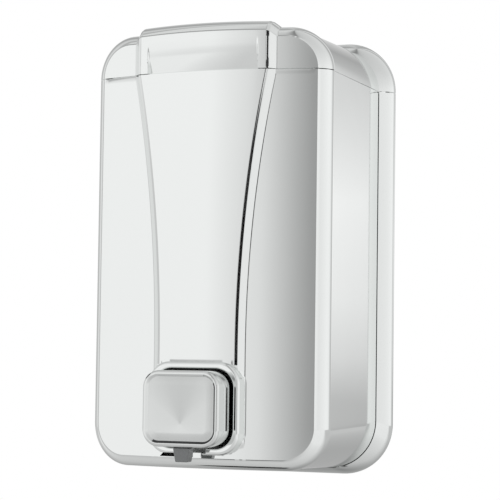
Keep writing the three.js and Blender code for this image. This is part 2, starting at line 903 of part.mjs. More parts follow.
function lid() {
  const outer = casingLoft([...beadRings(rim, waistRear, rimRound, rimRound), ...frameRings(1)]);
  const beadInside = beadRings(
    shrink(rim, lidWall),
    shrink(waistRear, lidWall),
    rimRound - lidWall,
    rimRound,
  );
  const edge = shrink(rim, rimRound + lidWall);
  const inFront = shrink(waistFront, lidWall);
  const inside = casingLoft([
    casingRing(edge, level(-overrun)),
    casingRing(edge, level(lidWall / 2)),
    ...beadInside,
    casingRing(inFront, behindFace(lidWall + frameRound)),
    casingRing(shrink(inFront, frameRound), behindFace(lidWall)),
  ]);
  const below = block(
    -rimHalfWidth - overrun,
    rimHalfWidth + overrun,
    -buttonFace,
    overrun,
    -rimHalfHeight - overrun,
    partingHeight + partingGap / 2,
  );
  let made = outer.subtract(inside);
  for (const side of [-1, 1])
    for (const edgeX of [-lugHalf - fit - earThick, lugHalf + fit]) {
      const x = side * hingeCentre + edgeX;
      made = made.add(rodX(earRadius, x, x + earThick, -rimRound, hingeHeight, circleSteps));
    }
  made = made.subtract(below).subtract(fingerScoop());
  for (const side of [-1, 1]) {
    const x = side * hingeCentre;
    const reach = lugHalf + fit + earThick + overrun;
    const window = lugHalf + fit;
    made = made
      .subtract(rodX(pinHole, x - reach, x + reach, -rimRound, hingeHeight))
      .subtract(
        block(
          x - window,
          x + window,
          -rimRound + lugStem,
          overrun,
          hingeHeight - rimRound,
          hingeHeight + lugWindow,
        ),
      );
  }
  return made.subtract(rearRelief());
}

// What the lid's rear lower edge gives way, so that it turns clear of the rear cover.
function rearRelief() {
  const width = rimHalfWidth + overrun;
  const zone = block(-width, width, -rimRound, overrun, partingHeight - overrun, hingeHeight);
  const reach = width + overrun;
  const kept = rodX(skirtRelief, -reach, reach, -rimRound, hingeHeight, reliefSteps);
  return zone.subtract(kept);
}

function hingePin(side) {
  const reach = lugHalf + earThick;
  const x = side * hingeCentre;
  return rodX(pinRadius, x - reach, x + reach, -rimRound, hingeHeight);
}

function tankRing(by, z, bossRadiusAt = 0) {
  const halfDepth = (tankFront - tankRear) / 2;
  const middle = -(tankFront + tankRear) / 2;
  if (bossRadiusAt) {
    const circle = roundedOutline(bossRadiusAt, bossRadiusAt, bossRadiusAt);
    return circle.map(([x, y]) => [x, y - inletDepth, z]);
  }
  const outline = roundedOutline(tankHalfWidth - by, halfDepth - by, tankCorner - by);
  return outline.map(([x, y]) => [x, y + middle, z]);
}

function soapTank() {
  const outer = buttonLoft([
    tankRing(0, tankFunnel, towerRadius),
    tankRing(0, tankFloor),
    tankRing(0, tankTop),
  ]);
  const flangeLow = tankTop - tankFlangeThick;
  const flange = buttonLoft([tankRing(-tankFlange, flangeLow), tankRing(-tankFlange, tankTop)]);
  const inner = buttonLoft([
    tankRing(0, tankFunnel + tankWall, spigotBore + tankWall / 2),
    tankRing(tankWall, tankFloor + tankWall),
    tankRing(tankWall, tankTop + overrun),
  ]);
  const bossEnd = towerTop + gasketFlangeThick + fit + fit;
  return outer
    .add(flange)
    .add(rodZ(towerRadius, bossEnd, tankFunnel + tankWall / 2, 0, -inletDepth, circleSteps))
    .add(rodZ(spigotRadius, spigotEnd, tankFunnel + tankWall / 2, 0, -inletDepth, circleSteps))
    .subtract(inner)
    .subtract(rodZ(spigotBore, spigotEnd - overrun, tankFloor, 0, -inletDepth, circleSteps));
}

function tankGasket() {
  const inside = spigotRadius + fit;
  const top = towerTop + gasketFlangeThick + fit;
  const under = towerTop + fit;
  return turnedZ(
    [
      [inside, spigotEnd],
      [gasketSleeve, spigotEnd],
      [gasketSleeve, under],
      [gasketFlange, under],
      [gasketFlange, top],
      [inside, top],
      [inside, spigotEnd],
    ],
    inletDepth,
  );
}

function inletValve() {
  const under = towerFloor + fit;
  const top = under + valveFlangeThick;
  const end = under - inletTubeLength;
  return turnedZ(
    [
      [0, end],
      [inletTube - inletTubeBore / 2, end],
      [inletTube, end + inletTubeBore],
      [inletTube, under],
      [valveFlange, under],
      [valveFlange, top],
      [inletTubeBore, top],
      [inletTubeBore, end + inletTubeBore],
      [0, end + inletTubeBore / 2],
    ],
    inletDepth,
  );
}

function pumpBody() {
  const outside = pumpBore + pumpWall;
  const mouth = carrierFloor - carrierFloorThick - fit;
  const flangeOutline = roundedOutline(pumpFlangeHalfWidth, pumpFlangeHalfHeight, pumpFlangeCorner);
  const tube = turnedY([
    [0, -pumpRear],
    [outside, -pumpRear],
    [outside, -mouth],
    [0, -mouth],
  ]);
  const bore = turnedY([
    [0, -pumpRear - pumpEndWall],
    [pumpBore, -pumpRear - pumpEndWall],
    [pumpBore, -mouth - overrun],
    [0, -mouth - overrun],
  ]);
  const tower = rodZ(towerRadius, buttonHeight + pumpBore, towerTop, 0, -inletDepth, circleSteps);
  let made = tube
    .add(prismY(flangeOutline, -mouth, -mouth + pumpFlangeThick, buttonHeight))
    .add(tower)
    .subtract(bore)
    .subtract(rodZ(towerCup, towerFloor, towerTop + overrun, 0, -inletDepth, circleSteps))
    .subtract(rodZ(portRadius, buttonHeight, towerTop, 0, -inletDepth, circleSteps));
  for (const side of [-1, 1]) {
    const x = side * pumpScrewSpread;
    made = made.subtract(rodY(screwHole, -mouth - overrun, -mouth + overrun, x, buttonHeight));
  }
  return made;
}

function pumpCarrier() {
  const outsideW = sleeveHalfWidth + sleeveWall;
  const outsideH = sleeveHalfHeight + sleeveWall;
  const rear = carrierFloor - carrierFloorThick;
  const sleeve = buttonLoft([
    buttonRing(outsideW, outsideH, sleeveCorner + sleeveWall, rear),
    buttonRing(outsideW, outsideH, sleeveCorner + sleeveWall, sleeveFront),
  ]);
  const inside = buttonLoft([
    buttonRing(sleeveHalfWidth, sleeveHalfHeight, sleeveCorner, carrierFloor),
    buttonRing(sleeveHalfWidth, sleeveHalfHeight, sleeveCorner, sleeveFront + overrun),
  ]);
  const plateHalfHeight = (carrierPlateTop - carrierPlateBottom) / 2;
  const plateMiddle = (carrierPlateTop + carrierPlateBottom) / 2;
  const plateOutline = roundedOutline(carrierPlateHalfWidth, plateHalfHeight, carrierPlateCorner);
  const plate = prismY(
    plateOutline,
    -carrierPlateFront,
    -carrierPlateFront + carrierPlateThick,
    plateMiddle,
  );
  const tabTop = buttonHeight - sleeveHalfHeight - sleeveWall / 2;
  const tab = block(-tabHalfWidth, tabHalfWidth, -tabFront, -tabFront + tabThick, tabBottom, tabTop);
  let made = sleeve.add(plate).add(tab).subtract(inside);
  for (const side of [-1, 1]) {
    const x = side * pumpScrewSpread;
    made = made
      .add(rodY(pumpBoss, -carrierFloor - pumpBossLength, -rear, x, buttonHeight))
      .subtract(rodY(screwPilot, -carrierFloor - pumpBossLength - overrun, overrun, x, buttonHeight));
    for (const z of [carrierBossTop, carrierBossBottom]) {
      const bossX = side * carrierBossSpread;
      made = made.subtract(rodY(screwHole, -carrierPlateFront - overrun, 0, bossX, z));
    }
  }
  const slot = block(
    -wayHalf,
    wayHalf,
    -sleeveFront - overrun,
    -tabFront - fit,
    buttonHeight - outsideH - overrun,
    buttonHeight,
  );
  return made
    .subtract(slot)
    .subtract(turnedY([
      [0, -carrierFloor - fit],
      [carrierMouth, -carrierFloor - fit],
      [carrierMouth, -rear + fit],
      [0, -rear + fit],
    ]));
}

// A cross-slotted screw along Y whose head faces the wall side.
function screw(headUnder, reach, x, z) {
  const head = rodY(screwHead, headUnder, headUnder + screwHeadThick, x, z);
  const shank = rodY(screwShank, headUnder - reach, headUnder + screwHeadThick / 2, x, z);
  const half = screwSlot / 2;
  const long = screwHead - screwSlot;
  const [y0, y1] = [headUnder + screwHeadThick - screwSlotDepth, headUnder + screwHeadThick + overrun];
  const lying = block(x - long, x + long, y0, y1, z - half, z + half);
  const upright = block(x - half, x + half, y0, y1, z - long, z + long);
  return head.add(shank).subtract(lying).subtract(upright);
}

function pushButton() {
  const [w, h, r] = [buttonHalfWidth, buttonHalfHeight, buttonCorner];
  const rings = [buttonRing(w, h, r, buttonRear)];
  for (let k = 0; k <= roundSteps; k++) {
    const a = (rightAngle * k) / roundSteps;
    const by = buttonRound * (1 - Math.cos(a));
    rings.push(buttonRing(w - by, h - by, r - by, buttonFace - buttonRound * (1 - Math.sin(a))));
  }
  const rimEnd = buttonRound + buttonRimWidth;
  rings.push(buttonRing(w - rimEnd, h - rimEnd, r - rimEnd, buttonFace));
  const step = rimEnd + buttonRimStep / 2;
  rings.push(buttonRing(w - step, h - step, r - step, buttonFace - buttonRimStep));
  for (const share of dishShares) {
    const by = step + share * (r - step);
    const rise = buttonDish * (1 - (1 - share) ** 2);
    rings.push(buttonRing(w - by, h - by, r - by, buttonFace - buttonRimStep + rise));
  }
  const inner = buttonLoft([
    buttonRing(w - buttonWall, h - buttonWall, r - buttonWall, buttonRear - overrun),
    buttonRing(w - buttonWall, h - buttonWall, r - buttonWall, buttonFace - buttonSkin - buttonRimStep),
  ]);
  const floor = -buttonFace + buttonSkin + buttonRimStep;
  let made = buttonLoft(rings).subtract(inner);
  for (const side of [-1, 1]) {
    const near = side * (elbowHalfWidth + fit);
    const far = side * (elbowHalfWidth + fit + ribThick);
    const [x0, x1] = near < far ? [near, far] : [far, near];
    const [z0, z1] = [buttonHeight - ribHalfHeight, buttonHeight + ribHalfHeight];
    made = made.add(block(x0, x1, floor - buttonSkin / 2, floor + ribReach, z0, z1));
  }
  const low = buttonHeight - buttonHalfHeight;
  return made.subtract(rodZ(nozzlePlug + fit, low - overrun, low + overrun, 0, -nozzleDepth));
}

// The hollow rod, turned down in an elbow to the nozzle, with the plate the spring pushes on.
function pistonRod() {
  const elbowFront = -nozzleDepth - elbowHalfDepth;
  const elbowRear = -nozzleDepth + elbowHalfDepth;
  const elbow = block(
    -elbowHalfWidth,
    elbowHalfWidth,
    elbowFront,
    elbowRear,
    buttonHeight - elbowFoot,
    buttonHeight + elbowTop,
  );
  const plateRear = elbowRear + springPlateThick;
  const headFront = -pistonRear - pistonLength;
  const grooveFront = -pistonRear - (pistonLength + grooveLength) / 2;
  const grooveRear = -pistonRear - (pistonLength - grooveLength) / 2;
  const turned = turnedY([
    [0, elbowRear - elbowHalfDepth / 2],
    [rodRadius, elbowRear - elbowHalfDepth / 2],
    [rodRadius, elbowRear],
    [springPlate, elbowRear],
    [springPlate, plateRear],
    [rodRadius, plateRear],
    [rodRadius, headFront],
    [pistonRadius, headFront],
    [pistonRadius, grooveFront],
    [grooveRadius, grooveFront],
    [grooveRadius, grooveRear],
    [pistonRadius, grooveRear],
    [pistonRadius, -pistonRear],
    [0, -pistonRear],
  ]);
  const down = rodZ(rodBore, buttonHeight - elbowFoot - overrun, buttonHeight, 0, -nozzleDepth);
  const along = rodY(rodBore, -nozzleDepth, -pistonRear + overrun, 0, buttonHeight);
  return turned.add(elbow).subtract(down).subtract(along);
}

function pistonCup() {
  const front = -pistonRear - (pistonLength + grooveLength) / 2 + fit;
  const rear = -pistonRear - (pistonLength - grooveLength) / 2 - fit;
  const inside = grooveRadius + fit;
  return turnedY([
    [inside, front],
    [cupRoot, front],
    [cupLip, rear],
    [cupLip - cupBody, rear],
    [inside + cupBody / 2, (front + rear) / 2],
    [inside, (front + rear) / 2],
    [inside, front],
  ]);
}

function nozzle() {
  const top = buttonHeight - buttonHalfHeight - fit;
  const plugTop = buttonHeight - elbowFoot - fit;
  const quad = (w, d, z) => [
    [-w, -nozzleDepth - d, z],
    [-w, -nozzleDepth + d, z],
    [w, -nozzleDepth + d, z],
    [w, -nozzleDepth - d, z],
  ];
  const spout = loft(
    [
      quad(nozzleTopHalfWidth, nozzleTopHalfDepth, top),
      quad(nozzleTipHalfWidth, nozzleTipHalfDepth, nozzleTip),
    ],
    [[0, 1, 2, 3]],
  );
  return spout
    .add(rodZ(nozzlePlug, top - fit, plugTop, 0, -nozzleDepth))
    .subtract(rodZ(nozzleBore, nozzleTip - overrun, plugTop + overrun, 0, -nozzleDepth));
}

function outletValve() {
  const low = nozzleTip + fit;
  return turnedZ(
    [
      [0, low],
      [valveTube - valveBore / 2, low],
      [valveTube, low + valveBore],
      [valveTube, low + valveLength],
      [valveBore, low + valveLength],
      [valveBore, low + valveBore],
      [0, low + valveBore],
    ],
    nozzleDepth,
    boreSteps,
  );
}

// The return spring as one unbroken wire, coiled along Y.
function returnSpring() {
  const stepsPerTurn = 8;
  const sides = 5;
  const plateRear = -nozzleDepth + elbowHalfDepth + springPlateThick;
  const [from, to] = [plateRear + fit + springWire, -carrierFloor - fit - springWire];
  const count = springTurns * stepsPerTurn;
  const centres = [];
  const rings = [];
  for (let k = 0; k <= count; k++) {
    const a = (2 * Math.PI * k) / stepsPerTurn;
    const y = from + ((to - from) * k) / count;
    const out = new THREE.Vector3(Math.cos(a), 0, Math.sin(a));
    const centre = out.clone().multiplyScalar(springRadius);
    centre.y = y;
    centre.z += buttonHeight;
    centres.push(centre);
    const ring = [];
    for (let s = 0; s < sides; s++) {
      const b = (2 * Math.PI * s) / sides;
      const point = centre.clone().addScaledVector(out, springWire * Math.cos(b));
      point.y += springWire * Math.sin(b);
      ring.push(point.toArray());
    }
    rings.push(ring);
  }
  let least = Infinity;
  for (let i = 0; i < centres.length; i++)
    for (let j = i + stepsPerTurn / 2; j < centres.length; j++)
      least = Math.min(least, centres[i].distanceTo(centres[j]) - springWire - springWire);
  console.log("return spring, least gap to itself in mm:", least.toFixed(2));
  return loft(rings, flatCap(sides));
}

add("rear_cover", rearCover(), plated);
add("front_cover", frontCover(), plated);
add("lid", lid(), plated);
add("hinge_pin_left", hingePin(-1), steel);
add("hinge_pin_right", hingePin(1), steel);
add("soap_tank", soapTank(), milky);
add("tank_gasket", tankGasket(), rubber);
add("inlet_valve", inletValve(), rubber);
add("pump_body", pumpBody(), whitePlastic);
add("pump_carrier", pumpCarrier(), lightGrey);
add("push_button", pushButton(), satinPlated);
add("piston_rod", pistonRod(), whitePlastic);
add("piston_cup", pistonCup(), rubber);
add("return_spring", returnSpring(), steel);
add("nozzle", nozzle(), midGrey);
add("outlet_valve", outletValve(), rubber);

for (const [sideName, side] of [
  ["left", -1],
  ["right", 1],
]) {
  const plateRear = -carrierPlateFront + carrierPlateThick + fit;
  const carrierX = side * carrierBossSpread;
  const reach = carrierScrewReach + carrierPlateThick;
  add(`carrier_screw_top_${sideName}`, screw(plateRear, reach, carrierX, carrierBossTop), steel);
  add(`carrier_screw_low_${sideName}`, screw(plateRear, reach, carrierX, carrierBossBottom), steel);
  const flangeRear = carrierFloorThick - carrierFloor + fit + pumpFlangeThick + fit;
  const pumpReach = pumpFlangeThick + pumpScrewReach;
  const pumpX = side * pumpScrewSpread;
  add(`pump_screw_${sideName}`, screw(flangeRear, pumpReach, pumpX, buttonHeight), steel);
  const under = fit - coverHeadPocket;
  const coverX = side * coverScrewSpread;
  add(`cover_screw_${sideName}`, screw(under, coverScrewReach, coverX, coverScrewHeight), steel);
}

export default group;
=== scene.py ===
# A wall-mounted push-button soap dispenser in chrome-plated ABS, dressed for a render.
# Lengths are written in millimetres and turned to metres where a mesh is made.
# The frame is the CAD's: the origin is the middle of the wall face, +X right, +Y into the
# wall and +Z up. The plated shells are made again here as fine skins from the same outlines,
# because a mirror finish shows each facet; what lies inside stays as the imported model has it.

import math

import bmesh
import bpy
from mathutils import Matrix, Vector


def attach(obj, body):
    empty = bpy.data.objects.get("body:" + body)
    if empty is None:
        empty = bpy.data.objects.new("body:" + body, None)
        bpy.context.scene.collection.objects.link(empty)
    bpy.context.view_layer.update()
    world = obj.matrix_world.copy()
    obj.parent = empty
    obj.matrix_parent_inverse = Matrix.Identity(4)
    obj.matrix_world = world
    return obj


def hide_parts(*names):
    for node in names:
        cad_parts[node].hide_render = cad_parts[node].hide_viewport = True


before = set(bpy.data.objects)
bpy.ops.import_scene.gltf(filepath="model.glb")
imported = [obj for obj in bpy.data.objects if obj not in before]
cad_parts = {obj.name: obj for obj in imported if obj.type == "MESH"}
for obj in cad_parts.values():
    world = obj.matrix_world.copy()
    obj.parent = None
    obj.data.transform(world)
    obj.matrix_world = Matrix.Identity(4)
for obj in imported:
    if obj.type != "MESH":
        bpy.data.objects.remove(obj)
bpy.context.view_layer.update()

MM = 0.001
QUARTER = math.pi / 2

# Outlines of the casing: half width, half height and corner radius
RIM = (64.3, 108.0, 25.0)
WAIST_REAR = (58.2, 105.0, 24.0)
FRONT = (60.0, 102.5, 20.0)
RIM_ROUND = 6.5
BEAD_SHARE = 0.15
FRONT_DEPTH = 90.0
FRONT_BOW = 8.8
FRAME_ARC = 6.0
FRAME_SHARE = 0.84
FRAME_INSET = 4.45
FRAME_STEP = 0.8
FRAME_LAND = 7.6
PANEL_STEP = 0.7
PARTING = 82.2
PARTING_OPEN = 0.2
PARTING_SHUT = 0.04
COVER_WALL = 2.4
LID_WALL = 2.1

# Where the bead ends, and how far along the waist its rings lie
WAIST_Y = -13.0
WAIST_SHARES = (0.06, 0.14, 0.25, 0.4, 0.55, 0.7, 0.82, 0.91, 0.97)

# The raised tie and its run-out
RAISE = 3.1
TIE_SWELL = 0.16
TIE_EDGE = ((-0.9, 3.1), (0.5, 2.59), (3.0, 0.18), (3.5, 0.0))
TIE_COLUMNS = (4.3, 3.62, 3.54, 3.46, 3.05, 2.95, 2.3, 1.7, 1.1, 0.56, 0.44, 0.0, -0.4, -0.84, -0.96, -1.2)
TIE_NARROW = 19.8
TIE_WIDE = 32.8
TIE_TAPER = -48.0
TIE_FOOT = -92.0
TIE_FADE = 5.0

# The button and its collar
BUTTON_Z = -74.3
BUTTON = (19.0, 17.35, 8.0)
COLLAR = (23.0, 21.35, 10.5)
OPENING = (19.9, 18.25, 8.9)
WAY_FLOOR = -94.9
NOZZLE_Y = -113.6

# How far the cuts through the collar reach, in front of it and behind the panel
CUT_FRONT = -108.0
CUT_REAR = -90.5

# The lid's hinge: its axis, the middle of each pair of ears, and the ears
HINGE = (-6.5, 101.5)
EAR_X = 26.0
EAR_GAP = 3.8
EAR_FAR = 7.3
EAR_THICK = 3.5
EAR_RADIUS = 5.5
PIN_HOLE = 1.8

# The photo's camera as fitted: focal length in pixels, place in millimetres, aim, and roll in degrees
PICTURE = 500
FOCAL_PIXELS = 1809.88
CAMERA_PLACE = (343.27, -864.16, -50.21)
CAMERA_AIM = (-0.38307, 0.92186, 0.05865)
CAMERA_ROLL = 0.754

# White, the world's strength for plain surfaces, and that of the grey panels that mirrors see
WHITE = (1, 1, 1, 1)
PLAIN_LEVEL = 0.7
MIRROR_LEVEL = 1.45


# outlines and depths


def shrink(outline, by):
    """The outline drawn in by a distance."""
    w, h, r = outline
    return (w - by, h - by, r - by)


PANEL = shrink(FRONT, FRAME_INSET + PANEL_STEP)


def mix(a, b, share):
    """The outline a share of the way from one to another."""
    return tuple(p + (q - p) * share for p, q in zip(a, b))


def face_y(x):
    """Depth of the bowed front at x."""
    radius = (FRONT[0] ** 2 + FRONT_BOW**2) / (2 * FRONT_BOW)
    return radius - FRONT_DEPTH - FRONT_BOW - math.sqrt(radius**2 - x * x)


def step(t):
    """0 to 1, straight in its middle and eased at its two ends."""
    t = min(max(t, 0.0), 1.0)
    return t * t * (3 - 2 * t)


def tie_half(z):
    """Half width of the tie's top at a height: straight sides that flare in one arc."""
    length = PARTING - TIE_TAPER
    flare = TIE_WIDE - TIE_NARROW
    radius = (length**2 + flare**2) / (2 * flare)
    above = min(max(0.0, z - TIE_TAPER), length)
    return TIE_NARROW + radius - math.sqrt(radius**2 - above**2)


def standing(x, half):
    """How far the tie stands over the panel: a fine bevel, a steep flank and a small foot."""
    over = abs(x) - half
    swell = 1 - TIE_SWELL * min(abs(x) / half, 1.0) ** 2
    if over <= TIE_EDGE[0][0]:
        return RAISE * swell
    for (near, high), (far, low) in zip(TIE_EDGE, TIE_EDGE[1:]):
        if over <= far:
            return (high + (low - high) * (over - near) / (far - near)) * swell
    return 0.0


def tie_columns(half):
    """Columns over the tie's edge, close to each change of slope so that it stays crisp."""
    return [half + offset for offset in TIE_COLUMNS]


def side_x(outline, z):
    """Where an outline's side is at a height."""
    w, h, r = outline
    over = abs(z) - (h - r)
    if over <= 0:
        return w
    return w - r + math.sqrt(max(0.0, r * r - over * over))


# meshes


def make(name, verts, faces, smooth_to=32.0):
    """A mesh object from points in millimetres."""
    mesh = bpy.data.meshes.new(name)
    mesh.from_pydata([[c * MM for c in v] for v in verts], [], faces)
    mesh.validate()
    obj = bpy.data.objects.new(name, mesh)
    bpy.context.scene.collection.objects.link(obj)
    finish_mesh(obj, smooth_to)
    return obj


def finish_mesh(obj, smooth_to=32.0):
    """Faces out, smooth where the surface is, and sharp at real edges."""
    bm = bmesh.new()
    bm.from_mesh(obj.data)
    bmesh.ops.remove_doubles(bm, verts=bm.verts, dist=0.002 * MM)
    bmesh.ops.dissolve_degenerate(bm, edges=bm.edges, dist=0.001 * MM)
    bmesh.ops.recalc_face_normals(bm, faces=bm.faces)
    bm.to_mesh(obj.data)
    bm.free()
    obj.data.shade_smooth()
    obj.data.set_sharp_from_angle(angle=math.radians(smooth_to))


def even_normals(obj):
    """Lets the large faces lead the shading, so that slivers at a joint leave no dark smear."""
    mod = obj.modifiers.new("even_normals", "WEIGHTED_NORMAL")
    mod.mode = "FACE_AREA"
    mod.weight = 50
    mod.keep_sharp = True


def loft(rings, closed_ring=True, caps=(True, True)):
    """Points and faces of a skin over rings of equal count."""
    count = len(rings[0])
    verts = [p for ring in rings for p in ring]
    faces = []
    for k in range(len(rings) - 1):
        for i in range(count if closed_ring else count - 1):
            j = (i + 1) % count
            faces.append((k * count + i, k * count + j, (k + 1) * count + j, (k + 1) * count + i))
    if caps[0]:
        faces.append(tuple(range(count)))
    if caps[1]:
        faces.append(tuple((len(rings) - 1) * count + i for i in range(count))[::-1])
    return verts, faces


def apply_modifiers(obj):
    """Bakes an object's modifiers into its mesh."""
    bpy.context.view_layer.update()
    graph = bpy.context.evaluated_depsgraph_get()
    mesh = bpy.data.meshes.new_from_object(obj.evaluated_get(graph), depsgraph=graph)
    obj.modifiers.clear()
    old = obj.data
    obj.data = mesh
    bpy.data.meshes.remove(old)
    return obj


def combine(obj, others, operation, smooth_to=32.0):
    """Joins other solids to an object, cuts them out of it, or keeps what is common."""
    for other in others:
        mod = obj.modifiers.new("combine", "BOOLEAN")
        mod.operation = operation
        mod.solver = "MANIFOLD"
        mod.object = other
        apply_modifiers(obj)
        mesh = other.data
        bpy.data.objects.remove(other)
        bpy.data.meshes.remove(mesh)
    finish_mesh(obj, smooth_to)
    return obj


def make_shell(name, outer, inner, faces):
    """A closed wall from a skin's points, the points behind them and its faces."""
    place, points, behind, index = {}, [], [], []
    for p, q in zip(outer, inner):
        key = tuple(round(c, 3) for c in p)
        if key not in place:
            place[key] = len(points)
            points.append(p)
            behind.append(q)
        index.append(place[key])
    count = len(points)
    skin = []
    for face in faces:
        corners = list(dict.fromkeys(index[i] for i in face))
        if len(corners) > 2:
            skin.append(corners)
    used = dict.fromkeys((i, j) for face in skin for i, j in zip(face, face[1:] + face[:1]))
    walls = [(j, i, count + i, count + j) for i, j in used if (j, i) not in used]
    back = [[count + i for i in reversed(face)] for face in skin]
    return make(name, points + behind, skin + walls + back)


def copy_of(node):
    """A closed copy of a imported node, to take its inner features from."""
    obj = bpy.data.objects.new(node + "_inside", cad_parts[node].data.copy())
    bpy.context.scene.collection.objects.link(obj)
    finish_mesh(obj)
    return obj


def rounded(outline, depth, corner_steps=14, middle=BUTTON_Z):
    """A rounded rectangle at a depth, about the button's middle or another height."""
    w, h, r = outline
    ring = []
    for sx, sz, turn in ((1, 1, 1), (1, -1, 0), (-1, -1, -1), (-1, 1, -2)):
        for k in range(corner_steps + 1):
            a = QUARTER * (turn - k / corner_steps)
            ring.append((sx * (w - r) + r * math.cos(a), depth, middle + sz * (h - r) + r * math.sin(a)))
    return ring


def box(name, x, y, z):
    """A block from three spans, for cutting."""
    verts = [(a, b, c) for a in x for b in y for c in z]
    faces = [(0, 1, 3, 2), (4, 6, 7, 5), (0, 4, 5, 1), (2, 3, 7, 6), (0, 2, 6, 4), (1, 5, 7, 3)]
    return make(name, verts, faces)


def disc_rings(radius, steps, centre, axis):
    """Points of a circle about an axis: 'x', 'y' or 'z'."""
    ring = []
    for i in range(steps):
        a = 2 * math.pi * i / steps
        c, s = radius * math.cos(a), radius * math.sin(a)
        point = {"x": (0, c, s), "y": (c, 0, s), "z": (c, s, 0)}[axis]
        ring.append(tuple(p + q for p, q in zip(point, centre)))
    return ring


def rod(name, radius, start, end, axis, steps=48):
    """A round bar between two centres on one axis."""
    return make(name, *loft([disc_rings(radius, steps, start, axis), disc_rings(radius, steps, end, axis)]))


# the casing's skins


def cover_path():
    """Stations down one side, round the foot and up the other, as (kind, side, share)."""
    side_steps, corner_steps, foot_steps = 64, 22, 40
    path = [("side", 1, k / side_steps) for k in range(side_steps)]
    path += [("corner", 1, k / corner_steps) for k in range(corner_steps)]
    path += [("foot", 1, 1 - 2 * k / foot_steps) for k in range(foot_steps)]
    path += [("corner", -1, 1 - k / corner_steps) for k in range(corner_steps)]
    path += [("side", -1, 1 - k / side_steps) for k in range(side_steps + 1)]
    return path


def on_cover(outline, station, top):
    """The (x, z) of a station of the cover's path on an outline that starts at top."""
    w, h, r = outline
    kind, side, share = station
    if kind == "side":
        z = top + (-(h - r) - top) * share
        return side * side_x(outline, z), z
    if kind == "corner":
        a = QUARTER * share
        return side * (w - r + r * math.cos(a)), -(h - r) - r * math.sin(a)
    return share * (w - r), -h


def bead_sections(steps=14):
    """(outline, y) pairs round the bead of the rim, from the wall to the waist."""
    out = []
    for k in range(steps + 1):
        a = QUARTER * k / steps
        out.append((shrink(RIM, RIM_ROUND * (1 - math.sin(a))), -RIM_ROUND + RIM_ROUND * math.cos(a)))
    # The front half is the flatter end of an oval, so that it meets the waist in a crisp crease
    end = QUARTER * BEAD_SHARE
    for k in range(1, steps + 1):
        a = end * k / steps
        inward = (1 - math.cos(a)) / (1 - math.cos(end))
        out.append((mix(RIM, WAIST_REAR, inward), -RIM_ROUND - RIM_ROUND * math.sin(a) / math.sin(end)))
    return out


def frame_sections(steps=14):
    """(outline, distance behind the bowed face) pairs from the waist to the panel's edge."""
    out = [
        (shrink(FRONT, FRAME_STEP), FRAME_LAND),
        (shrink(FRONT, FRAME_STEP * 0.25), FRAME_LAND - FRAME_STEP * 0.75),
        (FRONT, FRAME_LAND - FRAME_STEP),
    ]
    end = QUARTER * FRAME_SHARE
    for k in range(steps + 1):
        a = end * k / steps
        behind = PANEL_STEP + FRAME_ARC * (math.sin(end) - math.sin(a))
        out.append((shrink(FRONT, FRAME_ARC * (1 - math.cos(a))), behind))
    out.append((PANEL, 0.0))
    return out


def panel_columns(edge, half):
    """Where the panel's columns cross a row: from its edge over the flank and the tie."""
    base = tie_columns(half)[0]
    flat = tie_columns(half)[-1]
    right = [edge] + [edge - 0.1 + (base - edge + 0.1) * i / 10 for i in range(10)]
    right += tie_columns(half)
    right += [flat * (1 - i / 15) for i in range(1, 15)]
    return right + [0.0] + [-x for x in reversed(right)]


def inner_frame(wall):
    """(outline, distance behind the bowed face) pairs inside the frame's round."""
    count = len(frame_sections())
    start = shrink(FRONT, FRAME_STEP + wall)
    first = FRAME_LAND
    out = []
    for k in range(count):
        a = QUARTER * k / (count - 1)
        out.append((mix(start, PANEL, 1 - math.cos(a)), first + (wall - first) * math.sin(a)))
    return out


def waist_ring(place, stations, rear, front, front_behind, rear_y, share, lift_at=None):
    """A ring of the waist, a share of the way from the rear outline to the frame."""
    ring = []
    outline = mix(rear, front, share)
    for s in stations:
        x, z = place(outline, s)
        xf = place(front, s)[0]
        lift = lift_at(s) * share if lift_at else 0.0
        ring.append((x, rear_y + (face_y(xf) + front_behind - lift - rear_y) * share, z + lift))
    return ring


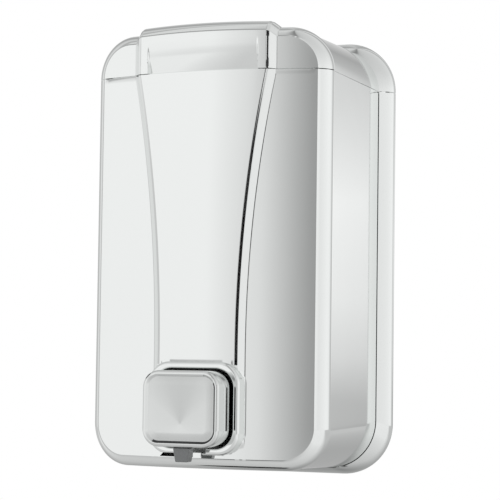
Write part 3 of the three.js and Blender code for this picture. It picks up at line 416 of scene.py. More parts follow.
def cover_skin():
    """The front cover's outer skin, the points behind it and its faces."""
    top = PARTING - PARTING_OPEN
    path = cover_path()
    side = [s for s in path if s[1] == 1 and s[0] != "foot"]
    rows = [on_cover(PANEL, s, top) for s in side] + [on_cover(PANEL, ("corner", 1, 1.0), top)]
    verts, inner, faces, grid = [], [], [], []
    for edge, z in rows:
        half = tie_half(z)
        fade = min(max((z - TIE_FOOT) / TIE_FADE, 0.0), 1.0)
        grid.append(len(verts))
        for x in panel_columns(edge, half):
            verts.append((x, face_y(x) - standing(x, half) * fade * fade * (3 - 2 * fade), z))
            inner.append((x, face_y(x) + COVER_WALL, z))
    count = len(panel_columns(50.0, 20.0))
    for k in range(len(rows) - 1):
        for i in range(count - 1):
            a, b = grid[k] + i, grid[k + 1] + i
            faces.append((a, a + 1, b + 1, b))
    # The frame's rings start on the panel's own edge points, and along the foot on its last row
    foot_row = [verts[grid[-1] + i][0] for i in range(count)]
    stations = side + [("foot", 1, x / foot_row[0]) for x in foot_row]
    stations += [(kind, -1, share) for kind, _, share in reversed(side)]

    def place(outline, station):
        return on_cover(outline, station, top)

    def on_waist(outline, station):
        return on_cover(outline, station, PARTING - PARTING_SHUT)

    plug = shrink(WAIST_REAR, 0.3)
    rings, behind = [], []
    for y in (-3.8, -8.0, WAIST_Y):
        rings.append([(x, y, z) for x, z in (place(plug, s) for s in stations)])
        behind.append([(x, y, z) for x, z in (place(shrink(plug, COVER_WALL), s) for s in stations)])
    frame_out, frame_in = frame_sections(), inner_frame(COVER_WALL)
    for share in WAIST_SHARES:
        rings.append(waist_ring(on_waist, stations, plug, *frame_out[0], WAIST_Y, share))
        behind.append(waist_ring(on_waist, stations, shrink(plug, COVER_WALL), *frame_in[0], WAIST_Y, share))
    for (outline, back), (outline_in, back_in) in zip(frame_out, frame_in):
        ring, ring_in = [], []
        for s in stations:
            x, z = place(outline, s)
            lift = standing(x, tie_half(z)) if s[0] == "side" else 0.0
            ring.append((x, face_y(x) + back - lift, z))
            x, z = place(outline_in, s)
            ring_in.append((x, face_y(x) + back_in, z))
        rings.append(ring)
        behind.append(ring_in)
    extra, more = loft(rings, closed_ring=False, caps=(False, False))
    start = len(verts)
    faces += [tuple(start + i for i in f)[::-1] for f in more]
    return verts + extra, inner + [p for ring in behind for p in ring], faces


def inner_region(name, wall):
    """The casing's inside, a little into its wall: what is kept of a packed shell's inner features."""
    plug = shrink(WAIST_REAR, 0.3 + wall)
    inner = shrink(FRONT, FRAME_STEP + wall)
    steps = 10

    def ring(outline, depth):
        w, h, r = outline
        quarter = [(w - r) * k / 6 for k in range(6)]
        points = [(x, h) for x in quarter]
        for k in range(steps + 1):
            a = QUARTER * (1 - k / steps)
            points.append((w - r + r * math.cos(a), h - r + r * math.sin(a)))
        lower = [(x, -z) for x, z in reversed(points)]
        right = points + lower
        left = [(-x, z) for x, z in reversed(right)][1:-1]
        flat = right + left
        return [(x, depth(x), z) for x, z in flat]

    rings = [
        ring(plug, lambda x: 6.0),
        ring(plug, lambda x: WAIST_Y),
        ring(inner, lambda x: face_y(x) + wall + FRAME_ARC),
        ring(shrink(inner, FRAME_ARC), lambda x: face_y(x) + wall),
    ]
    count = len(rings[0])
    verts, faces = loft(rings, caps=(True, False))
    # The bowed end is capped in upright strips between points of one x
    base = (len(rings) - 1) * count
    by_x = {}
    for i in range(count):
        x, _, z = verts[base + i]
        by_x.setdefault(round(x, 4), []).append((z, base + i))
    columns = [sorted(by_x[x]) for x in sorted(by_x)]
    for left, right in zip(columns, columns[1:]):
        quad = [left[0][1], right[0][1], right[-1][1], left[-1][1]]
        faces.append(tuple(dict.fromkeys(quad)))
    return make(name, verts, faces)


def front_cover():
    """The plated front cover with its collar, opening and notch."""
    shell = make_shell("front_cover_shell", *cover_skin())
    combine(shell, [collar()], "UNION")
    combine(shell, [opening_cut(), *notch_cuts()], "DIFFERENCE")
    inside = copy_of("front_cover")
    combine(inside, [inner_region("cover_inside", 1.3)], "INTERSECT")
    return combine(shell, [inside], "UNION", 27.0)


def collar():
    """The raised collar round the button's opening."""
    rings = [rounded(COLLAR, -96.4), rounded(COLLAR, -99.0)]
    for k in range(9):
        a = QUARTER * k / 8
        rings.append(rounded(shrink(COLLAR, 1.6 * (1 - math.cos(a))), -104.3 + 1.6 * (1 - math.sin(a))))
    return make("collar", *loft(rings))


def opening_cut():
    """The button's way through the collar, with a small round at its front edge."""
    rings = [rounded(OPENING, -84.0), rounded(OPENING, -103.5)]
    for k in range(1, 7):
        a = QUARTER * k / 6
        rings.append(rounded(shrink(OPENING, -0.8 * (1 - math.cos(a))), -103.5 - 0.8 * math.sin(a)))
    rings.append(rounded(shrink(OPENING, -0.8), CUT_FRONT))
    return make("opening", *loft(rings))


def notch_cuts():
    """The dark slot in the panel's foot and the nozzle's way through the collar."""
    outline = [(-17.2, WAY_FLOOR), (-2.0, WAY_FLOOR), (-2.0, -97.0), (-19.2, -97.0)]
    slot = make("notch", *loft([[(x, y, z) for x, z in outline] for y in (CUT_REAR, CUT_FRONT)]))
    way = box("nozzle_way", (-6.8, 6.8), (CUT_FRONT, CUT_REAR), (WAY_FLOOR, -85.0))
    travel = box("nozzle_travel", (-4.9, 4.9), (CUT_FRONT, face_y(0) - 0.02), (-98.2, -85.0))
    return [slot, way, travel]


# the lid


def on_lid(outline, station, low):
    """The (x, z) of a station of the lid's path, from its lower edge over the top."""
    w, h, r = outline
    kind, side, share = station
    if kind == "side":
        z = low + max(0.0, h - r - low) * share
        return side * side_x(outline, z), z
    if kind == "corner":
        start = math.asin(min(max((low - (h - r)) / r, 0.0), 1.0))
        a = start + (QUARTER - start) * share
        return side * (w - r + r * math.cos(a)), h - r + r * math.sin(a)
    return share * (w - r), h


def scoop(x, z):
    """How deep the finger scoop is cut into the tongue's lower edge."""
    t = max((z - PARTING) / (PANEL[1] - 0.1 - PARTING), 0.0)
    across = 1 - step((abs(x) - 27.4) / 0.9)
    return 2.6 * across * max(1 - t, 0.0) ** 1.4


def lid_bead_inside(steps=14):
    """(outline, y) pairs inside the lid's bead, one for each of its outer sections."""
    round_in = RIM_ROUND - LID_WALL
    rim, waist = shrink(RIM, LID_WALL), shrink(WAIST_REAR, LID_WALL)
    out = []
    for k in range(steps + 1):
        a = QUARTER * k / steps
        out.append((shrink(rim, round_in * (1 - math.sin(a))), -RIM_ROUND + round_in * math.cos(a)))
    for k in range(1, steps + 1):
        a = QUARTER * k / steps
        out.append((mix(rim, waist, 1 - math.cos(a)), -RIM_ROUND - round_in * math.sin(a)))
    return out


def lid_skin():
    """The lid's outer skin with tongue, scoop, frame, top and bead, the points behind it and its faces."""
    low = PARTING + PARTING_OPEN
    side_steps, corner_steps = 2, 28
    side = [("side", 1, k / side_steps) for k in range(side_steps)]
    side += [("corner", 1, k / corner_steps) for k in range(corner_steps)]
    rows = [on_lid(PANEL, s, low) for s in side] + [on_lid(PANEL, ("corner", 1, 1.0), low)]
    half = TIE_WIDE
    verts, inner, faces, grid = [], [], [], []
    for edge, z in rows:
        grid.append(len(verts))
        for x in lid_columns(edge):
            verts.append((x, face_y(x) - standing(x, half) + scoop(x, z), z))
            inner.append((x, face_y(x) + LID_WALL, z))
    count = len(lid_columns(50.0))
    for k in range(len(rows) - 1):
        for i in range(count - 1):
            a, b = grid[k] + i, grid[k + 1] + i
            faces.append((a, b, b + 1, a + 1))
    top_row = [verts[grid[-1] + i][0] for i in range(count)]
    stations = side + [("top", 1, x / top_row[0]) for x in top_row]
    stations += [(kind, -1, share) for kind, _, share in reversed(side)]

    def place(outline, station):
        return on_lid(outline, station, low)

    def on_waist(outline, station):
        return on_lid(outline, station, PARTING + PARTING_SHUT)

    def lift_at(station):
        kind, _, share = station
        return standing(share * (PANEL[0] - PANEL[2]), half) if kind == "top" else 0.0

    rings, behind = [], []
    for (outline, y), (outline_in, y_in) in zip(bead_sections(), lid_bead_inside()):
        rings.append([(x, y, z) for x, z in (place(outline, s) for s in stations)])
        behind.append([(x, y_in, z) for x, z in (place(outline_in, s) for s in stations)])
    frame_out, frame_in = frame_sections(), inner_frame(LID_WALL)
    inner_rear, inner_y = lid_bead_inside()[-1]
    for share in WAIST_SHARES:
        rings.append(waist_ring(on_waist, stations, WAIST_REAR, *frame_out[0], WAIST_Y, share, lift_at))
        behind.append(waist_ring(on_waist, stations, inner_rear, *frame_in[0], inner_y, share))
    for (outline, back), (outline_in, back_in) in zip(frame_out, frame_in):
        ring, ring_in = [], []
        for s in stations:
            x, z = place(outline, s)
            lift = lift_at(s)
            ring.append((x, face_y(x) + back - lift, z + lift))
            x, z = place(outline_in, s)
            ring_in.append((x, face_y(x) + back_in, z))
        rings.append(ring)
        behind.append(ring_in)
    extra, more = loft(rings, closed_ring=False, caps=(False, False))
    start = len(verts)
    # The panel's own top row is lifted with its ring, so that the two edges are one
    for i in range(count):
        x, y, z = verts[grid[-1] + i]
        verts[grid[-1] + i] = (x, y, z + standing(x, half))
    faces += [tuple(start + i for i in f) for f in more]
    return verts + extra, inner + [p for ring in behind for p in ring], faces


def lid_columns(edge):
    """Where the lid's columns cross a row: over the frame side, the flank, the scoop's end and the tongue."""
    base = tie_columns(TIE_WIDE)[0]
    right = [edge] + [edge - 0.1 + (base - edge + 0.1) * i / 6 for i in range(6)]
    right += tie_columns(TIE_WIDE)
    right += [31.0, 30.3, 29.6, 29.0, 28.45] + [28.3 - 0.15 * i for i in range(7)] + [27.2]
    right += [26.6 * (1 - i / 14) for i in range(14)]
    return right + [0.0] + [-x for x in reversed(right)]


def lid():
    """The plated lid with the ears that its hinge pins sit in."""
    shell = make_shell("lid_shell", *lid_skin())
    cuts, ears = [], []
    for x in (-EAR_X, EAR_X):
        cuts.append(box("lug_window", (x - EAR_GAP, x + EAR_GAP), (-5.2, 4.0), (95.0, 103.3)))
        for low in (x - EAR_FAR, x + EAR_GAP):
            ear = rod("ear", EAR_RADIUS, (low, *HINGE), (low + EAR_THICK, *HINGE), "x", 64)
            hole = rod("ear_hole", PIN_HOLE, (low - 1, *HINGE), (low + EAR_THICK + 1, *HINGE), "x", 32)
            ears.append(combine(ear, [hole], "DIFFERENCE"))
    combine(shell, cuts, "DIFFERENCE")
    return combine(shell, ears, "UNION", 27.0)


# the rear cover


def rear_cover():
    """The rear tray: a fine bead round its rim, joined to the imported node's own inside."""
    top = PARTING - 0.25
    path = cover_path()
    section = bead_sections()
    clear = shrink(WAIST_REAR, 0.15)
    section += [(clear, -12.95), (clear, -3.4), (shrink(RIM, 8.0), -3.4), (shrink(RIM, 8.0), 0.0)]
    rings = []
    for station in path:
        ring = []
        for outline, y in section:
            x, z = on_cover(outline, station, top)
            ring.append((x, y, z))
        rings.append(ring)
    bead = make("rear_cover_bead", *loft(rings))
    inside = copy_of("rear_cover")
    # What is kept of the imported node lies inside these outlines, a little into the bead's wall
    band = mix(RIM, WAIST_REAR, 0.5)
    back, plug = shrink(RIM, 7.2), shrink(WAIST_REAR, 1.0)
    sections = [(back, 2.0), (back, -3.9), (band, -4.1), (band, -10.9), (plug, -11.1), (plug, -16.0)]
    region = make("rear_inside", *loft([rounded(outline, y, 12, 0.0) for outline, y in sections]))
    combine(inside, [region], "INTERSECT")
    return combine(bead, [inside], "UNION", 34.0)


# button, nozzle and spring


def push_button():
    """The plated button: a bright soft rim and a chamfer round a satin, slightly swelled face."""
    w, h, r = BUTTON
    rings = [rounded(BUTTON, -96.5), rounded(BUTTON, -100.0), rounded(BUTTON, -112.0)]
    for k in range(11):
        a = QUARTER * k / 10
        rings.append(rounded(shrink(BUTTON, 1.4 * (1 - math.cos(a))), -117.1 - 1.4 * math.sin(a)))
    rim, inset, sunk = 1.7, 2.85, -117.51
    for by, y in ((rim, -118.5), (2.75, -117.5), (inset, sunk)):
        rings.append(rounded(shrink(BUTTON, by), y))
    for share in (0.15, 0.3, 0.45, 0.6, 0.75):
        by = inset + share * (r - inset)
        rings.append(rounded(shrink(BUTTON, by), sunk - 0.5 * (1 - (1 - share) ** 2)))
    body = make("push_button_body", *loft(rings), smooth_to=24.0)
    inner = shrink(BUTTON, 2.0)
    hollow = make("button_inside", *loft([rounded(inner, -92.0), rounded(inner, -116.2)]))
    hole = rod("nozzle_hole", 2.8, (0, NOZZLE_Y, -96.0), (0, NOZZLE_Y, -87.0), "z", 32)
    combine(body, [hollow], "DIFFERENCE")
    combine(body, [hole], "DIFFERENCE")
    ribs = []
    for low in (-4.2, 3.0):
        ribs.append(box("rib", (low, low + 1.2), (-117.0, -112.8), (BUTTON_Z - 7.5, BUTTON_Z + 7.5)))
    combine(body, ribs, "UNION", 24.0)
    # Slot 1 is the satin face with its painted sheen, slot 2 a painted dark reflection on the lower and right
    # sides of the chamfer
    for face in body.data.polygons:
        x, y, z = (c / MM for c in face.center)
        up = z - BUTTON_Z
        inside = abs(x) < w - 2.65 and abs(up) < h - 2.65
        face.material_index = 1 if y < -117.45 and inside and face.normal.y < -0.9 else 0
        chamfer = -118.3 < y < -117.6 and abs(x) < w - rim and abs(up) < h - rim
        if chamfer and face.normal.z - face.normal.x > 0.3:
            face.material_index = 2
    return body


def nozzle():
    """The spout under the button: a flat-sided taper with soft edges and a round bore."""
    top, tip = -91.95, -98.4

    def ring(w, d, z, r):
        points = []
        for sx, sy, turn in ((1, 1, 0), (-1, 1, 1), (-1, -1, 2), (1, -1, 3)):
            for k in range(6):
                a = QUARTER * (turn + k / 5)
                points.append((sx * (w - r) + r * math.cos(a), NOZZLE_Y + sy * (d - r) + r * math.sin(a), z))
        return points

    rings = [
        ring(3.8, 2.6, top, 0.5),
        ring(4.1, 2.9, top - 0.3, 0.5),
        ring(3.03, 2.72, tip + 0.45, 0.45),
        ring(2.9, 2.6, tip + 0.12, 0.45),
        ring(2.7, 2.4, tip, 0.4),
    ]
    spout = make("nozzle_spout", *loft(rings), smooth_to=50.0)
    neck = rod("nozzle_neck", 2.5, (0, NOZZLE_Y, top - 0.3), (0, NOZZLE_Y, -89.5), "z", 40)
    combine(spout, [neck], "UNION")
    bore = rod("nozzle_bore", 1.6, (0, NOZZLE_Y, tip - 2), (0, NOZZLE_Y, -86.0), "z", 32)
    return combine(spout, [bore], "DIFFERENCE", 45.0)


def return_spring():
    """The coiled wire behind the button, short enough to stay inside the pressed button."""
    radius, wire, turns, per_turn, sides = 8.4, 0.6, 8, 40, 14
    start, end = -105.2, -78.4
    count = turns * per_turn
    rings = []
    for k in range(count + 1):
        share = k / count
        a = 2 * math.pi * k / per_turn
        y = start + (end - start) * share
        ring = []
        for s in range(sides):
            b = 2 * math.pi * s / sides
            out = radius + wire * math.cos(b)
            ring.append((out * math.cos(a), y + wire * math.sin(b), BUTTON_Z + out * math.sin(a)))
        rings.append(ring)
    return make("return_spring_wire", *loft(rings), smooth_to=60.0)


# materials


def linear(hex_colour):
    """An sRGB hex colour as linear values."""
    out = []
    for i in (0, 2, 4):
        c = int(hex_colour[i : i + 2], 16) / 255
        out.append(c / 12.92 if c <= 0.04045 else ((c + 0.055) / 1.055) ** 2.4)
    return (*out, 1.0)


def add_node(tree, kind, settings=None, links=None, stops=None):
    """Adds a node; settings sets its properties or sockets, links joins sockets, stops fills a ramp."""
    node = tree.nodes.new(kind)
    for index, (place, value) in enumerate(stops or []):
        elements = node.color_ramp.elements
        if index == 0:
            elements.remove(elements[-1])
        element = elements.new(place) if index else elements[0]
        element.position = place
        element.color = (value, value, value, 1.0)
    for key, value in (settings or {}).items():
        if isinstance(key, str) and hasattr(node, key):
            setattr(node, key, value)
        else:
            node.inputs[key].default_value = value
    for key, source in (links or {}).items():
        tree.links.new(source, node.inputs[key])
    return node


def material(name, base, sockets):
    """A material with a Principled shader of a base colour, and its tree to build on."""
    mat = bpy.data.materials.new(name)
    mat.use_nodes = True
    tree = mat.node_tree
    shader = tree.nodes["Principled BSDF"]
    shader.inputs["Base Color"].default_value = linear(base)
    for key, value in sockets.items():
        shader.inputs[key].default_value = value
    place = add_node(tree, "ShaderNodeTexCoord")
    return mat, tree, shader, place.outputs["Object"]


def cycles_per(size_mm):
    """The noise scale that repeats once in a size, for coordinates in metres."""
    return 1.0 / (size_mm * MM)


def surface(tree, shader, dull, relief, rough, strength, depth_mm):
    """Least and greatest roughness from one noise, and a relief of a depth from another or the same."""
    spread = {"From Min": 0.3, "From Max": 0.7, "To Min": rough[0], "To Max": rough[1]}
    gloss = add_node(tree, "ShaderNodeMapRange", spread, {"Value": dull.outputs["Fac"]})
    tree.links.new(gloss.outputs["Result"], shader.inputs["Roughness"])
    height = {"Strength": strength, "Distance": depth_mm * MM}
    bump = add_node(tree, "ShaderNodeBump", height, {"Height": relief.outputs["Fac"]})
    tree.links.new(bump.outputs["Normal"], shader.inputs["Normal"])


def bright_chrome(name="bright chrome plating on ABS", base="EDEFEE"):
    # Bright nickel-chrome on moulded plastic: a clear mirror with a very slight long wave from
    # the moulding, and faint wiping haze that changes the gloss from place to place
    mat, tree, shader, place = material(name, base, {"Metallic": 1.0})
    haze = add_node(tree, "ShaderNodeTexNoise", {"Scale": cycles_per(28), "Detail": 4.0}, {"Vector": place})
    wave = add_node(tree, "ShaderNodeTexNoise", {"Scale": cycles_per(22), "Detail": 1.0}, {"Vector": place})
    surface(tree, shader, haze, wave, (0.045, 0.085), 0.06, 0.4)
    return mat


def satin_chrome():
    # Satin chrome from a finely blasted and round-brushed mould: soft grey reflections and a fine grit.
    # Its colour holds a painted sheen: darker in a narrow sector above a point near the face's foot, and
    # paler all round it.
    base, sheen_foot = "E0E2E1", BUTTON_Z - 7.0
    mat, tree, shader, place = material("satin chrome plating on ABS with a painted sheen", base, {"Metallic": 1.0})
    split = add_node(tree, "ShaderNodeSeparateXYZ", links={0: place})
    above = {"operation": "SUBTRACT", 1: sheen_foot * MM}
    up = add_node(tree, "ShaderNodeMath", above, {0: split.outputs["Z"]})
    across = add_node(tree, "ShaderNodeMath", {"operation": "ABSOLUTE"}, {0: split.outputs["X"]})
    ends = {0: across.outputs[0], 1: up.outputs[0]}
    turn = add_node(tree, "ShaderNodeMath", {"operation": "ARCTAN2"}, ends)
    share = add_node(tree, "ShaderNodeMapRange", {"From Max": math.pi}, {"Value": turn.outputs[0]})
    # Painted sheen: darker straight above the point, paler to the sides and below
    painted_sheen_stops = [(0.0, 0.78), (0.1, 0.8), (0.3, 0.93), (0.5, 0.95), (0.8, 1.0), (1.0, 1.0)]
    painted_sheen = add_node(tree, "ShaderNodeValToRGB", links={"Fac": share.outputs["Result"]}, stops=painted_sheen_stops)
    tint = {"data_type": "RGBA", "blend_type": "MULTIPLY", 0: 1.0, 6: linear(base)}
    tone = add_node(tree, "ShaderNodeMix", tint, {7: painted_sheen.outputs["Color"]})
    tree.links.new(tone.outputs[2], shader.inputs["Base Color"])
    grit = add_node(tree, "ShaderNodeTexNoise", {"Scale": cycles_per(0.5), "Detail": 3.0}, {"Vector": place})
    surface(tree, shader, grit, grit, (0.16, 0.22), 0.1, 0.02)
    return mat


def moulded(name, base, rough, grain_mm, extra=None, depth=0.02):
    # A moulded polymer: its colour changes a little with wall and flow, its gloss with the mould
    mat, tree, shader, place = material(name, base, extra or {})
    flow = add_node(tree, "ShaderNodeTexNoise", {"Scale": cycles_per(30), "Detail": 2.0}, {"Vector": place})
    colour = linear(base)
    darker = [c * 0.93 for c in colour[:3]] + [1.0]
    blend = {"data_type": "RGBA", "blend_type": "MIX", 6: colour, 7: darker}
    tone = add_node(tree, "ShaderNodeMix", blend, {0: flow.outputs["Fac"]})
    tree.links.new(tone.outputs[2], shader.inputs["Base Color"])
    size = {"Scale": cycles_per(grain_mm), "Detail": 3.0}
    grain = add_node(tree, "ShaderNodeTexNoise", size, {"Vector": place})
    surface(tree, shader, grain, grain, (rough - 0.04, rough + 0.04), 0.25, depth)
    return mat


def turned_steel(name, base, rough):
    # Zinc-plated or drawn steel: bluish grey, with fine marks from the tool round the piece
    mat, tree, shader, place = material(name, base, {"Metallic": 1.0})
    marks = add_node(tree, "ShaderNodeTexNoise", {"Scale": cycles_per(0.4), "Detail": 4.0}, {"Vector": place})
    surface(tree, shader, marks, marks, (rough - 0.06, rough + 0.08), 0.2, 0.01)
    return mat


def set_materials(obj, *mats):
    """Fills an object's slots, keeping each face's slot number."""
    numbers = [p.material_index for p in obj.data.polygons]
    obj.data.materials.clear()
    for mat in mats:
        obj.data.materials.append(mat)
    for p, n in zip(obj.data.polygons, numbers):
        p.material_index = min(n, len(mats) - 1)


CHROME = bright_chrome()
BUTTON_CHROME = bright_chrome("bright chrome plating on the button", "E2E4E3")
SATIN = satin_chrome()
CARRIER_GREY = moulded("light grey moulded ABS", "B9BCBB", 0.42, 0.9)
POLISH = {"Coat Weight": 0.4, "Coat Roughness": 0.06}
NOZZLE_GREY = moulded("grey polished acetal", "67696A", 0.18, 1.5, POLISH)
MILKY = {"Subsurface Weight": 0.25, "Subsurface Radius": (0.004, 0.004, 0.0035), "Subsurface Scale": 1.0}
TANK = moulded("natural polyethylene, blown", "E2E5E0", 0.36, 1.6, MILKY, 0.05)
PUMP_WHITE = moulded("white acetal", "EDEDE8", 0.3, 1.2)
# A painted dark reflection, laid on the lower and right sides of the button's chamfer only. A guess:
# the photo is dark along the lower and right edge of the face, and only those sides have it
PAINTED_DARK_REFLECTION = moulded("painted dark reflection on the button's chamfer", "2A2B2C", 0.5, 0.6)
RUBBER = moulded("black EPDM rubber, moulded", "1E1F20", 0.62, 0.5, {"IOR": 1.52}, 0.03)
ZINC = turned_steel("zinc-plated steel", "BCC0C4", 0.28)
WIRE = turned_steel("drawn spring wire", "A9ACAE", 0.2)

# the pieces


def dress(obj, body, nodes, slot_name, *mats):
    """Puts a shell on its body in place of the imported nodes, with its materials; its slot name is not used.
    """
    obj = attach(obj, body) or obj
    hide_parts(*nodes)
    set_materials(obj, *mats)
    even_normals(obj)


dress(front_cover(), "housing", ["front_cover"], "bright_chrome", CHROME)
dress(rear_cover(), "housing", ["rear_cover"], "bright_chrome", CHROME)
dress(lid(), "lid", ["lid"], "bright_chrome", CHROME)
dress(push_button(), "button", ["push_button"], "satin_chrome", BUTTON_CHROME, SATIN, PAINTED_DARK_REFLECTION)
dress(nozzle(), "button", ["nozzle"], "mid_grey_plastic", NOZZLE_GREY)
dress(return_spring(), "housing", ["return_spring"], "spring_steel", WIRE)

kept = {
    "soap_tank": TANK,
    "pump_carrier": CARRIER_GREY,
    "pump_body": PUMP_WHITE,
    "piston_rod": PUMP_WHITE,
    "tank_gasket": RUBBER,
    "inlet_valve": RUBBER,
    "piston_cup": RUBBER,
    "outlet_valve": RUBBER,
}
for node_name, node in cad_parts.items():
    if not node.hide_render:
        set_materials(node, kept.get(node_name, ZINC))

# camera, light and floor


def camera():
    """The photo's view, found by fitting the casing's corners and edges to it."""
    data = bpy.data.cameras.new("camera")
    data.sensor_width = 36.0
    data.lens = FOCAL_PIXELS / PICTURE * data.sensor_width
    data.clip_start = 0.01
    data.clip_end = 20.0
    obj = bpy.data.objects.new("camera", data)
    bpy.context.scene.collection.objects.link(obj)
    forward = Vector(CAMERA_AIM).normalized()
    right = forward.cross(Vector((0, 0, 1))).normalized()
    up = right.cross(forward)
    roll = math.radians(CAMERA_ROLL)
    c, s = math.cos(roll), math.sin(roll)
    x_axis = right * c + up * s
    y_axis = up * c - right * s
    turn = Matrix((x_axis, y_axis, -forward)).transposed().to_4x4()
    obj.matrix_world = Matrix.Translation(Vector(CAMERA_PLACE) * MM) @ turn
    bpy.context.scene.camera = obj


def area_light(name, place, size, power):
    """A soft lamp for the plain surfaces; mirrors see the studio's panels and not the lamp."""
    data = bpy.data.lights.new(name, "AREA")
    data.shape = "RECTANGLE"
    data.size, data.size_y = size
    data.energy = power
    obj = bpy.data.objects.new(name, data)
    bpy.context.scene.collection.objects.link(obj)
    obj.location = place
    obj.rotation_euler = (Vector((0, -0.05, 0)) - Vector(place)).to_track_quat("-Z", "Y").to_euler()
    obj.visible_glossy = False


def part_of(angle):
    """A compass angle from straight in front, positive to the right, as a share of the circle."""
    return (angle + 180) / 360


def part_up(height):
    """The height of a direction, from -0.25 to 0.25 of its length, as a share of that span."""
    return height / 0.5 + 0.5


def by_ray(tree, plain, mirrored, seen_white):
    """What plain surfaces, mirrors and the camera see of the world or the floor, in one shader."""
    path = add_node(tree, "ShaderNodeLightPath")
    rays = {0: path.outputs["Is Glossy Ray"], 1: plain.outputs[0], 2: mirrored.outputs[0]}
    glossy = add_node(tree, "ShaderNodeMixShader", links=rays)
    rays = {0: path.outputs["Is Camera Ray"], 1: glossy.outputs[0], 2: seen_white.outputs[0]}
    return add_node(tree, "ShaderNodeMixShader", links=rays).outputs[0]


def studio():
    """Cameras see white and plain surfaces an even level. Mirrors see a studio of their own: grey panels
    by compass direction and height, set for the photo's angle, at most about as bright as white."""
    world = bpy.data.worlds.new("studio")
    bpy.context.scene.world = world
    world.use_nodes = True
    tree = world.node_tree
    tree.nodes.clear()
    place = add_node(tree, "ShaderNodeTexCoord").outputs["Generated"]
    split = add_node(tree, "ShaderNodeSeparateXYZ", links={0: place})
    back = add_node(tree, "ShaderNodeMath", {"operation": "MULTIPLY", 1: -1.0}, {0: split.outputs["Y"]})
    ends = {0: split.outputs["X"], 1: back.outputs[0]}
    turn = add_node(tree, "ShaderNodeMath", {"operation": "ARCTAN2"}, ends)
    circle = {"From Min": -math.pi, "From Max": math.pi}
    share = add_node(tree, "ShaderNodeMapRange", circle, {"Value": turn.outputs[0]})
    span = {"From Min": -0.25, "From Max": 0.25}
    height = add_node(tree, "ShaderNodeMapRange", span, {"Value": split.outputs["Z"]})
    panels = [(-180, 0.4), (-157, 0.8), (-145, 0.72), (-129, 0.52), (-119, 0.52), (-108, 0.6)]
    panels += [(-104, 0.75), (-90, 0.85), (-79, 0.9), (-74, 0.62), (-65, 0.62), (-60, 0.95), (-56, 0.97)]
    panels += [(-20, 0.97), (-6, 0.8), (4, 0.5), (10, 0.34), (13, 0.36), (17, 0.7), (24, 0.8), (36, 0.86)]
    panels += [(60, 0.9), (98, 0.98), (118, 0.96), (132, 0.62), (144, 0.52), (151, 0.76), (160, 0.76)]
    panels += [(168, 0.5), (180, 0.4)]
    compass_stops = [(part_of(angle), value) for angle, value in panels]
    around = {"Fac": share.outputs["Result"]}
    compass = add_node(tree, "ShaderNodeValToRGB", links=around, stops=compass_stops)
    # Heights that the side wall mirrors: pale in the middle, darker above and below
    side_heights = [(-0.25, 0.44), (-0.12, 0.5), (-0.06, 0.52), (-0.046, 0.54), (-0.024, 0.56), (0.0, 0.78)]
    side_heights += [(0.031, 0.92), (0.086, 1.0), (0.12, 0.86), (0.146, 0.76), (0.163, 0.72), (0.25, 0.72)]
    level_stops = [(part_up(value), shade) for value, shade in side_heights]
    levels = add_node(tree, "ShaderNodeValToRGB", links={"Fac": height.outputs["Result"]}, stops=level_stops)
    # Heights that the front mirrors: even, with a greyer ceiling
    full = {"From Min": -1.0, "From Max": 1.0}
    tall = add_node(tree, "ShaderNodeMapRange", full, {"Value": split.outputs["Z"]})
    front_heights = [(-1.0, 0.5), (-0.13, 0.6), (-0.066, 0.69), (0.16, 0.71), (0.35, 0.64), (0.6, 0.56)]
    front_heights += [(1.0, 0.52)]
    front_stops = [(value / 2 + 0.5, shade) for value, shade in front_heights]
    upward = {"Fac": tall.outputs["Result"]}
    fronts = add_node(tree, "ShaderNodeValToRGB", links=upward, stops=front_stops)
    sides = [(-180, 1.0), (-165, 0.0), (138, 0.0), (150, 1.0), (180, 1.0)]
    side_stops = [(part_of(angle), value) for angle, value in sides]
    side = add_node(tree, "ShaderNodeValToRGB", links=around, stops=side_stops)
    shade = add_node(
        tree,
        "ShaderNodeMix",
        {"data_type": "FLOAT"},
        {0: side.outputs["Color"], 2: fronts.outputs["Color"], 3: levels.outputs["Color"]},
    )
    # A narrow dark card at the horizon, leaning to the right by 30 degrees for a height of one, draws
    # the tie's right edge
    lean = {"operation": "MULTIPLY_ADD", 1: -30 / 360}
    card_edges = [(21.8, 0.0), (22.4, 1.0), (27.0, 1.0), (27.8, 0.0)]
    leaning = add_node(tree, "ShaderNodeMath", lean, {0: split.outputs["Z"], 2: share.outputs["Result"]})
    card = add_node(
        tree,
        "ShaderNodeValToRGB",
        links={"Fac": leaning.outputs[0]},
        stops=[(0.0, 0.0)] + [(part_of(angle), shown) for angle, shown in card_edges],
    )
    tall_card = [(-0.14, 0.0), (-0.12, 1.0), (0.2, 1.0), (0.24, 0.0)]
    upright_stops = [(value / 2 + 0.5, shown) for value, shown in tall_card]
    upright = add_node(tree, "ShaderNodeValToRGB", links=upward, stops=upright_stops)
    times = {"operation": "MULTIPLY"}
    hidden = add_node(tree, "ShaderNodeMath", times, {0: card.outputs["Color"], 1: upright.outputs["Color"]})
    left = add_node(tree, "ShaderNodeMath", {"operation": "SUBTRACT", 0: 1.0}, {1: hidden.outputs[0]})
    panelled = add_node(tree, "ShaderNodeMath", times, {0: compass.outputs["Color"], 1: shade.outputs[0]})
    seen = add_node(tree, "ShaderNodeMath", times, {0: panelled.outputs[0], 1: left.outputs[0]})
    mirrored = add_node(tree, "ShaderNodeBackground", {"Strength": MIRROR_LEVEL}, {"Color": seen.outputs[0]})
    plain = add_node(tree, "ShaderNodeBackground", {"Color": WHITE, "Strength": PLAIN_LEVEL})
    white = add_node(tree, "ShaderNodeBackground", {"Color": WHITE, "Strength": 1.0})
    add_node(tree, "ShaderNodeOutputWorld", links={"Surface": by_ray(tree, plain, mirrored, white)})


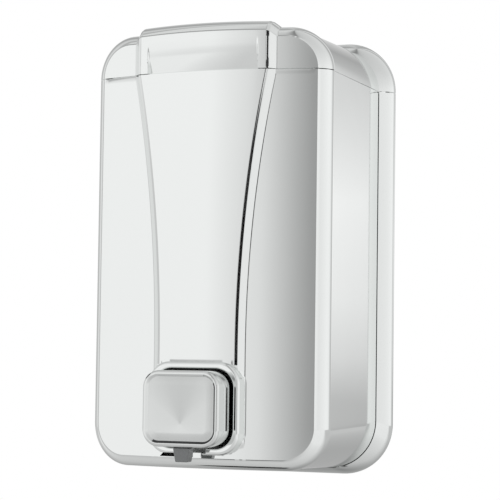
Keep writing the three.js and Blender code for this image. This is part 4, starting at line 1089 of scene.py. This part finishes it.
def floor():
    """A plain pale floor well under the dispenser, which hangs on its wall."""
    size, low = 2400.0, -300.0
    corners = [(-size, -size, low), (size, -size, low), (size, size, low), (-size, size, low)]
    plane = make("floor", corners, [(0, 1, 2, 3)])
    mat, tree, shader, place = material("pale painted floor", "F2F2F0", {"Roughness": 0.6})
    # In a mirror the floor is pale far out to both sides, with painted shade under and behind the dispenser
    flat = add_node(tree, "ShaderNodeVectorMath", {"operation": "MULTIPLY", 1: (1.0, 1.0, 0.0)}, {0: place})
    away = add_node(tree, "ShaderNodeVectorMath", {"operation": "LENGTH"}, {0: flat.outputs["Vector"]})
    part = add_node(tree, "ShaderNodeMapRange", {"From Max": 2.0}, {"Value": away.outputs["Value"]})
    shades = [(0.0, 0.3), (0.03, 0.42), (0.08, 0.6), (0.15, 0.66), (1.0, 0.68)]
    tone = add_node(tree, "ShaderNodeValToRGB", links={"Fac": part.outputs["Result"]}, stops=shades)
    split = add_node(tree, "ShaderNodeSeparateXYZ", links={0: place})
    depths = {"From Min": -0.1, "From Max": 0.15, "To Min": 1.39, "To Max": 0.9}
    behind = add_node(tree, "ShaderNodeMapRange", depths, {"Value": split.outputs["Y"]})
    widths = {"From Min": -1.0, "From Max": 1.0}
    across = add_node(tree, "ShaderNodeMapRange", widths, {"Value": split.outputs["X"]})
    sides = [(0.06, 1.0), (0.36, 0.72), (0.55, 0.72), (0.75, 0.98)]
    aside = add_node(tree, "ShaderNodeValToRGB", links={"Fac": across.outputs["Result"]}, stops=sides)
    times = {"operation": "MULTIPLY"}
    lit = add_node(tree, "ShaderNodeMath", times, {0: behind.outputs["Result"], 1: aside.outputs["Color"]})
    # A small painted dark oval on the floor, seen in mirrors only, draws the dark reflected line along the
    # panel's foot
    spread = {"operation": "MULTIPLY_ADD", 1: (16.0, 34.0, 0.0), 2: (0.4, 2.8, 0.0)}
    from_card = add_node(tree, "ShaderNodeVectorMath", spread, {0: place})
    length = {"operation": "LENGTH"}
    beyond = add_node(tree, "ShaderNodeVectorMath", length, {0: from_card.outputs["Vector"]})
    edge = {"From Min": 0.9, "From Max": 1.15, "To Min": 0.04, "To Max": 1.0}
    card = add_node(tree, "ShaderNodeMapRange", edge, {"Value": beyond.outputs["Value"]})
    level = add_node(tree, "ShaderNodeMath", times, {0: lit.outputs[0], 1: card.outputs["Result"]})
    glow = {"Color": tone.outputs["Color"], "Strength": level.outputs[0]}
    mirrored = add_node(tree, "ShaderNodeEmission", links=glow)
    white = add_node(tree, "ShaderNodeEmission", {"Color": WHITE, "Strength": 1.0})
    output = tree.nodes["Material Output"]
    tree.links.new(by_ray(tree, shader, mirrored, white), output.inputs["Surface"])
    set_materials(plane, mat)


camera()
studio()
floor()
area_light("key", (-0.9, -1.3, 0.9), (0.9, 0.9), 9.0)
area_light("fill", (1.3, -0.9, 0.3), (0.8, 1.2), 4.0)
bpy.context.scene.view_settings.view_transform = "Standard"
